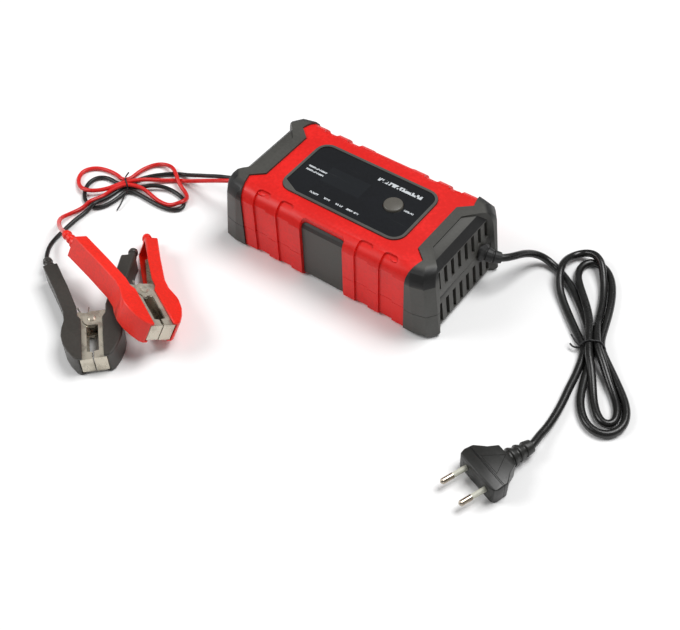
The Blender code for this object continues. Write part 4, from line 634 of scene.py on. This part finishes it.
class CHARGER_OT_stage(bpy.types.Operator):
    """Make the floor, the lights and the camera"""
    bl_idname = "charger.stage"
    bl_label = "Stage"

    def execute(self, context):
        settings = context.scene.charger_stage
        self.make_floor(context, settings)
        self.make_lights(context, settings)
        self.make_camera(context, settings)
        return {"FINISHED"}

    def make_floor(self, context, settings):
        work = bmesh.new()
        bmesh.ops.create_grid(work, x_segments=1, y_segments=1, size=4.0)
        bmesh.ops.translate(work, verts=work.verts, vec=(0.0, 0.0, FLOOR))
        data = bpy.data.meshes.new("floor")
        work.to_mesh(data)
        work.free()
        made, w, shader = fresh_material("floor_paper")
        mottle = w.noise(object_place(w), 3.0, 2.0)
        pale = tuple(settings.floor)
        w.feed(shader.inputs["Base Color"], w.mix(mottle, scaled(pale, 0.995), pale))
        shader.inputs["Roughness"].default_value = 0.9
        shader.inputs["Specular IOR Level"].default_value = 0.1
        data.materials.append(made)
        floor = bpy.data.objects.new("floor", data)
        context.scene.collection.objects.link(floor)

    def make_lights(self, context, settings):
        panels = (("back_panel", (0.45, 0.60, 1.60), 1.0, settings.back_light),
                  ("key_panel", (-1.05, -0.75, 1.05), 0.8, settings.key_light))
        for name, place, size, power in panels:
            light = bpy.data.lights.new(name, "AREA")
            light.size, light.energy = size, power
            item = bpy.data.objects.new(name, light)
            item.location = place
            item.rotation_mode = "QUATERNION"
            item.rotation_quaternion = (-Vector(place)).to_track_quat("-Z", "Y")
            context.scene.collection.objects.link(item)
        world = bpy.data.worlds.new("surroundings")
        world.use_nodes = True
        world.node_tree.nodes["Background"].inputs["Color"].default_value = (1.0, 1.0, 1.0, 1.0)
        world.node_tree.nodes["Background"].inputs["Strength"].default_value = settings.world
        context.scene.world = world
        context.scene.view_settings.view_transform = "Standard"

    def make_camera(self, context, settings):
        turn, height = settings.azimuth, settings.elevation
        level = math.cos(height)
        back = Vector((math.sin(turn) * level, -math.cos(turn) * level, math.sin(height)))
        right = Vector((0, 0, 1)).cross(back).normalized()
        up = back.cross(right)
        cos, sin = math.cos(settings.roll), math.sin(settings.roll)
        matrix = Matrix((right * cos + up * sin, up * cos - right * sin, back)).transposed().to_4x4()
        matrix.translation = Vector(settings.aim) + back * settings.distance
        camera = bpy.data.objects.new("camera", bpy.data.cameras.new("camera"))
        camera.data.lens = settings.lens
        camera.data.dof.use_dof = False
        camera.matrix_world = matrix
        context.scene.collection.objects.link(camera)
        context.scene.camera = camera


class CHARGER_OT_mains_lead(bpy.types.Operator):
    """Make the mains lead from its gland, through its tied loops, to the plug"""
    bl_idname = "charger.mains_lead"
    bl_label = "Mains lead"

    def execute(self, context):
        settings = context.scene.charger_leads
        start = boot_axis("mains_gland", *MAINS_BOOT, BOOT_DEPTH)
        end = boot_axis("plug_body", *PLUG_BOOT, BOOT_DEPTH)
        route = start + MAINS_FROM_GLAND + MAINS_LOOPS + MAINS_TO_PLUG + end[::-1]
        path = relaxed(smooth_path(route, settings.steps), EASING_PASSES)
        finish = sheathed("mains_sheath", settings.black, 0.30)
        lead = tubes("mains_lead", [path], settings.mains_diameter / 2, finish, 6)
        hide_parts("mains_lead_case", "mains_hank", "mains_lead_plug")
        return {"FINISHED"}


class CHARGER_OT_battery_leads(bpy.types.Operator):
    """Make the red and the black wire from their gland, through their tied loops, to the clamps"""
    bl_idname = "charger.battery_leads"
    bl_label = "Battery leads"

    def execute(self, context):
        settings = context.scene.charger_leads
        share = settings.wire_diameter / ROUTE_WIRE
        for name, side, routes, boot, colour, pieces in (
                ("red", -1, (RED_FROM_GLAND, RED_LOOPS, RED_TO_CLAMP), RED_BOOT, settings.red, []),
                ("black", 1, (BLACK_FROM_GLAND, BLACK_LOOPS, BLACK_TO_CLAMP), BLACK_BOOT, settings.black,
                 ["battery_hank"])):
            beside = Vector((0.0, side * settings.wire_diameter / 2, 0.0))
            gland = boot_axis("battery_gland", *BATTERY_BOOT, BATTERY_GLAND_DEPTH)
            start = [point + beside for point in gland]
            end = boot_axis(name + "_clamp_boot", *boot, BOOT_DEPTH)
            out, loops, home = routes
            route = start + out + raised(loops, share) + home + end[::-1]
            path = relaxed(smooth_path(route, settings.steps), EASING_PASSES)
            finish = sheathed(name + "_wire_sheath", colour, 0.34)
            wire = tubes(name + "_battery_wire", [path], settings.wire_diameter / 2, finish, 4)
            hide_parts(name + "_lead_case", name + "_lead_clamp", *pieces)
            carried = [f"{name}_clamp_{part}" for part in ("rivet", "spring", "fixed_jaw", "free_jaw")]
            if name == "black":
                carried += ["battery_gland", "battery_wire_tie"]
        return {"FINISHED"}


class CHARGER_OT_case(bpy.types.Operator):
    """Round and finish the covers, the end caps and the side grips"""
    bl_idname = "charger.case"
    bl_label = "Case"

    def execute(self, context):
        settings = context.scene.charger_case
        # the slant colours below are painted shade: chamfers and shoulders get a darker, deeper colour for
        # the dark surroundings they reflect
        red = moulded("red_moulding", tuple(settings.red), 0.42, settings.grain, 0.22,
                      slant_shade_colour=(0.66, 0.0045, 0.001), slant_shade_share=0.55, specular=0.4)
        grey = moulded("grey_moulding", tuple(settings.grey), 0.48, settings.grain, 0.30,
                       slant_shade_colour=tuple(settings.facet_shade), specular=0.5)
        grip = moulded("grip_moulding", tuple(settings.grey), 0.52, settings.grain * 1.3, 0.35,
                       slant_shade_colour=tuple(settings.facet_shade), slant_shade_share=0.8)
        for node in ("red_upper_cover", "red_lower_cover"):
            rounded_copy(node, settings.edge_radius, 3, red)
        for node in ("upper_cap_mains", "lower_cap_mains", "upper_cap_battery", "lower_cap_battery"):
            rounded_copy(node, settings.edge_radius, 3, grey)
        for node in ("side_grip_near", "side_grip_far"):
            rounded_copy(node, settings.edge_radius, 3, grip)
        return {"FINISHED"}


class CHARGER_OT_panel_label(bpy.types.Operator):
    """Finish the rim, the printed film, the display and the button"""
    bl_idname = "charger.panel_label"
    bl_label = "Label panel"

    def execute(self, context):
        settings = context.scene.charger_panel
        rim = moulded("rim_moulding", (0.075, 0.074, 0.068), 0.42, 1800.0, 0.2)
        rounded_copy("panel_rim", RIM_EDGE, 2, rim)
        finish_nodes(self.film_finish(settings), "panel_film")
        button = moulded("button_moulding", tuple(settings.button), 0.40, 2200.0, 0.2)
        rounded_copy("mode_button", BUTTON_EDGE, 2, button, 50)
        return {"FINISHED"}

    def film_finish(self, settings):
        """Glossy film with the display behind it and rows of printed strokes."""
        made, w, shader = fresh_material("printed_film")
        place = object_place(w)
        fine = w.group(moulding_grain(), vector=place, scale=1500.0)
        film = tuple(settings.film)
        base = w.mix(fine["Tone"], scaled(film, 0.88), scaled(film, 1.15))
        display = w.math("MULTIPLY", self.window(w, place), DISPLAY_SHARE)
        base = w.mix(display, base, tuple(settings.display))
        for x, y, half_length, half_height, strokes in PRINTED_ROWS:
            mask = w.group(printed_line(), vector=place, centre_x=x, centre_y=y, half_length=half_length,
                           half_height=half_height, strokes=strokes)["Mask"]
            base = w.mix(mask, base, tuple(settings.marks))
        w.feed(shader.inputs["Base Color"], base)
        rub = w.group(handling_marks(), vector=place, scale=34.0)["Rub"]
        w.feed(shader.inputs["Roughness"], w.ramp(rub, 0.0, 1.0, 0.24, 0.38))
        shader.inputs["Specular IOR Level"].default_value = 0.5
        bumped(w, shader, fine["Height"], 0.06, 0.0001)
        return made

    def window(self, w, place):
        """One over the display."""
        parts = w.add("ShaderNodeSeparateXYZ")
        w.feed(parts.inputs[0], place)
        masks = []
        for axis, middle, half in zip("XY", DISPLAY_CENTRE, DISPLAY_HALF):
            away = w.math("ABSOLUTE", w.math("SUBTRACT", parts.outputs[axis], middle))
            masks.append(w.ramp(away, half - DISPLAY_EDGE, half + DISPLAY_EDGE, 1.0, 0.0))
        return w.math("MULTIPLY", masks[0], masks[1])


class CHARGER_OT_plug(bpy.types.Operator):
    """Finish the plug's body and its part-sleeved pins"""
    bl_idname = "charger.plug"
    bl_label = "Plug"

    def execute(self, context):
        settings = context.scene.charger_clamps
        rounded_copy("plug_body", PLUG_EDGE, 2, self.body_finish(tuple(settings.plug)), 45)
        finish_nodes(self.pin_finish(), "plug_pin_1", "plug_pin_2")
        return {"FINISHED"}

    def reach(self, w, place, direction):
        """Distance from the middle of the plug's front face along a direction."""
        product = w.add("ShaderNodeVectorMath", operation="DOT_PRODUCT")
        w.feed(product.inputs[0], place)
        product.inputs[1].default_value = direction
        return w.math("SUBTRACT", product.outputs["Value"], PLUG_FRONT.dot(direction))

    def body_finish(self, colour):
        """Moulded body with a raised arrow that points to the lead, and a groove behind the front block with
        painted shade in it.
        """
        made = moulded("plug_moulding", colour, 0.40, 1900.0, 0.25)
        w, shader = Wiring(made.node_tree), made.node_tree.nodes["Principled BSDF"]
        place = object_place(w)
        back = self.reach(w, place, -PLUG_OUT)
        across = w.math("ABSOLUTE", self.reach(w, place, PLUG_SIDE))
        slope = w.math("SUBTRACT", w.math("MULTIPLY_ADD", back, ARROW_NARROWING, ARROW_HALF_WIDTH), across)
        arrow = w.math("MULTIPLY", w.ramp(slope, 0.0, RELIEF_RISE),
                       w.ramp(back, ARROW_START, ARROW_START + RELIEF_RISE))
        groove = w.math("MULTIPLY", w.ramp(back, GROOVE_START, GROOVE_START + RELIEF_RISE),
                        w.ramp(back, GROOVE_END, GROOVE_END + RELIEF_RISE, 1.0, 0.0))
        height = w.math("SUBTRACT", arrow, groove)
        base = shader.inputs["Base Color"].links[0].from_socket
        # painted shade: the groove's base colour is darkened
        w.feed(shader.inputs["Base Color"], w.mix(w.math("MULTIPLY", groove, 0.8), base, GROOVE_SHADE))
        bumped(w, shader, height, 0.9, 0.0006)
        return made

    def pin_finish(self):
        """Pale sleeve near the plug and a metal tip, parted across the pins' length."""
        made, w, shader = fresh_material("pin_sleeve_and_tip")
        place = object_place(w)
        tip = w.ramp(self.reach(w, place, PLUG_OUT), SLEEVE_LENGTH - SLEEVE_EDGE, SLEEVE_LENGTH + SLEEVE_EDGE)
        fine = w.group(moulding_grain(), vector=place, scale=2400.0)
        sleeve = w.mix(fine["Tone"], (0.50, 0.50, 0.42), (0.62, 0.62, 0.53))
        metal = w.mix(fine["Tone"], (0.34, 0.29, 0.23), (0.52, 0.47, 0.40))
        w.feed(shader.inputs["Base Color"], w.mix(tip, sleeve, metal))
        w.feed(shader.inputs["Metallic"], tip)
        w.feed(shader.inputs["Roughness"], w.ramp(tip, 0.0, 1.0, 0.45, 0.24))
        bumped(w, shader, fine["Height"], 0.1, 0.0001)
        return made


class CHARGER_OT_clamps(bpy.types.Operator):
    """Round and finish the clamps' covers, and finish their jaws, rivets and springs"""
    bl_idname = "charger.clamps"
    bl_label = "Clamps"

    def execute(self, context):
        settings = context.scene.charger_clamps
        metal = plated("plated_sheet", tuple(settings.metal))
        wire = plated("spring_steel", (0.42, 0.40, 0.36), 0.26, 2400.0)
        for name, colour in (("red", tuple(settings.red)), ("black", tuple(settings.black))):
            cover = moulded(name + "_clamp_moulding", colour, 0.36, 1700.0, 0.2)
            for part in ("fixed_cover", "free_cover", "boot"):
                rounded_copy(f"{name}_clamp_{part}", CLAMP_EDGE, 3, cover, 35)
            finish_nodes(metal, *(f"{name}_clamp_{part}" for part in ("fixed_jaw", "free_jaw", "rivet")))
            finish_nodes(wire, f"{name}_clamp_spring")
        return {"FINISHED"}


class CHARGER_OT_glands(bpy.types.Operator):
    """Finish the rubber glands where the leads leave the case"""
    bl_idname = "charger.glands"
    bl_label = "Glands"

    def execute(self, context):
        rubber = sheathed("gland_rubber", (0.013, 0.013, 0.013), 0.5)
        finish_nodes(rubber, "mains_gland", "battery_gland")
        return {"FINISHED"}


class CHARGER_OT_ties(bpy.types.Operator):
    """Make the wire ties round the two hanks, with their tails"""
    bl_idname = "charger.ties"
    bl_label = "Ties"

    def execute(self, context):
        finish = sheathed("tie_sheath", (0.010, 0.010, 0.011), 0.45)
        for name, node, radius, centre, across, section, tails in TIES:
            ring = [Vector((centre[0] + s * across[0], centre[1] + s * across[1], z)) for s, z in section]
            along = Vector((-across[1], across[0], 0.0)) * radius * TIE_PITCH
            lines = [ring + [ring[0] + along], *tails]
            tie = tubes(name, [smooth_path(line, 4) for line in lines], radius, finish, 2)
            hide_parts(node)
        return {"FINISHED"}


class CHARGER_OT_inside(bpy.types.Operator):
    """Finish the boards, the parts on them, the fan and the screws"""
    bl_idname = "charger.inside"
    bl_label = "Inside"

    def execute(self, context):
        board = moulded("solder_resist", (0.012, 0.14, 0.045), 0.35, 900.0, 0.1)
        dark = moulded("dark_moulding", (0.022, 0.022, 0.022), 0.45, 1600.0, 0.25)
        ferrite = moulded("ferrite", (0.040, 0.040, 0.045), 0.7, 1100.0, 0.5)
        sleeve = moulded("capacitor_sleeve", (0.012, 0.022, 0.060), 0.3, 800.0, 0.08)
        glass = moulded("fuse_glass", (0.52, 0.52, 0.48), 0.2, 600.0, 0.05)
        winding = plated("enamelled_wire", (0.60, 0.25, 0.09), 0.35, 2600.0)
        steel = plated("zinc_steel", (0.55, 0.55, 0.56), 0.35, 1500.0)
        fins = plated("extruded_aluminium", (0.72, 0.72, 0.74), 0.38, 1200.0)
        finish_nodes(board, "main_board", "display_board")
        finish_nodes(dark, "fan_frame", "fan_rotor", "display_module", "switch_plunger", "power_transistor_1",
                     "power_transistor_2")
        finish_nodes(ferrite, "transformer_core")
        finish_nodes(sleeve, "bulk_capacitor", "output_capacitor")
        finish_nodes(glass, "fuse")
        finish_nodes(winding, "transformer_winding", "toroid_choke")
        finish_nodes(steel, "tact_switch", *(f"case_screw_{number}" for number in range(1, 5)))
        finish_nodes(fins, "heat_sink")
        return {"FINISHED"}


class CHARGER_PT_sidebar(bpy.types.Panel):
    """The charger's settings and its making steps"""
    bl_idname = "CHARGER_PT_sidebar"
    bl_label = "Car Battery Charger"
    bl_space_type = "VIEW_3D"
    bl_region_type = "UI"
    bl_category = "Charger"

    def draw(self, context):
        for key in SETTINGS:
            settings = getattr(context.scene, key)
            area = self.layout.box()
            area.label(text=key.removeprefix("charger_").title())
            for name in settings.__annotations__:
                area.prop(settings, name)
        for operator in OPERATORS:
            self.layout.operator(operator.bl_idname)


SETTINGS = {"charger_case": CaseSettings, "charger_panel": PanelSettings, "charger_leads": LeadSettings,
            "charger_clamps": ClampSettings, "charger_stage": StageSettings}
OPERATORS = (CHARGER_OT_stage, CHARGER_OT_ties, CHARGER_OT_mains_lead, CHARGER_OT_battery_leads,
             CHARGER_OT_case, CHARGER_OT_panel_label, CHARGER_OT_plug, CHARGER_OT_clamps, CHARGER_OT_glands,
             CHARGER_OT_inside)


def register():
    for group in (*SETTINGS.values(), *OPERATORS, CHARGER_PT_sidebar):
        bpy.utils.register_class(group)
    for name, group in SETTINGS.items():
        setattr(bpy.types.Scene, name, PointerProperty(type=group))


def unregister():
    for name in SETTINGS:
        delattr(bpy.types.Scene, name)
    for group in reversed((*SETTINGS.values(), *OPERATORS, CHARGER_PT_sidebar)):
        bpy.utils.unregister_class(group)


def main():
    """Make everything in order."""
    register()
    for operator in OPERATORS:
        group, name = operator.bl_idname.split(".")
        getattr(getattr(bpy.ops, group), name)()


if __name__ == "__main__":
    main()
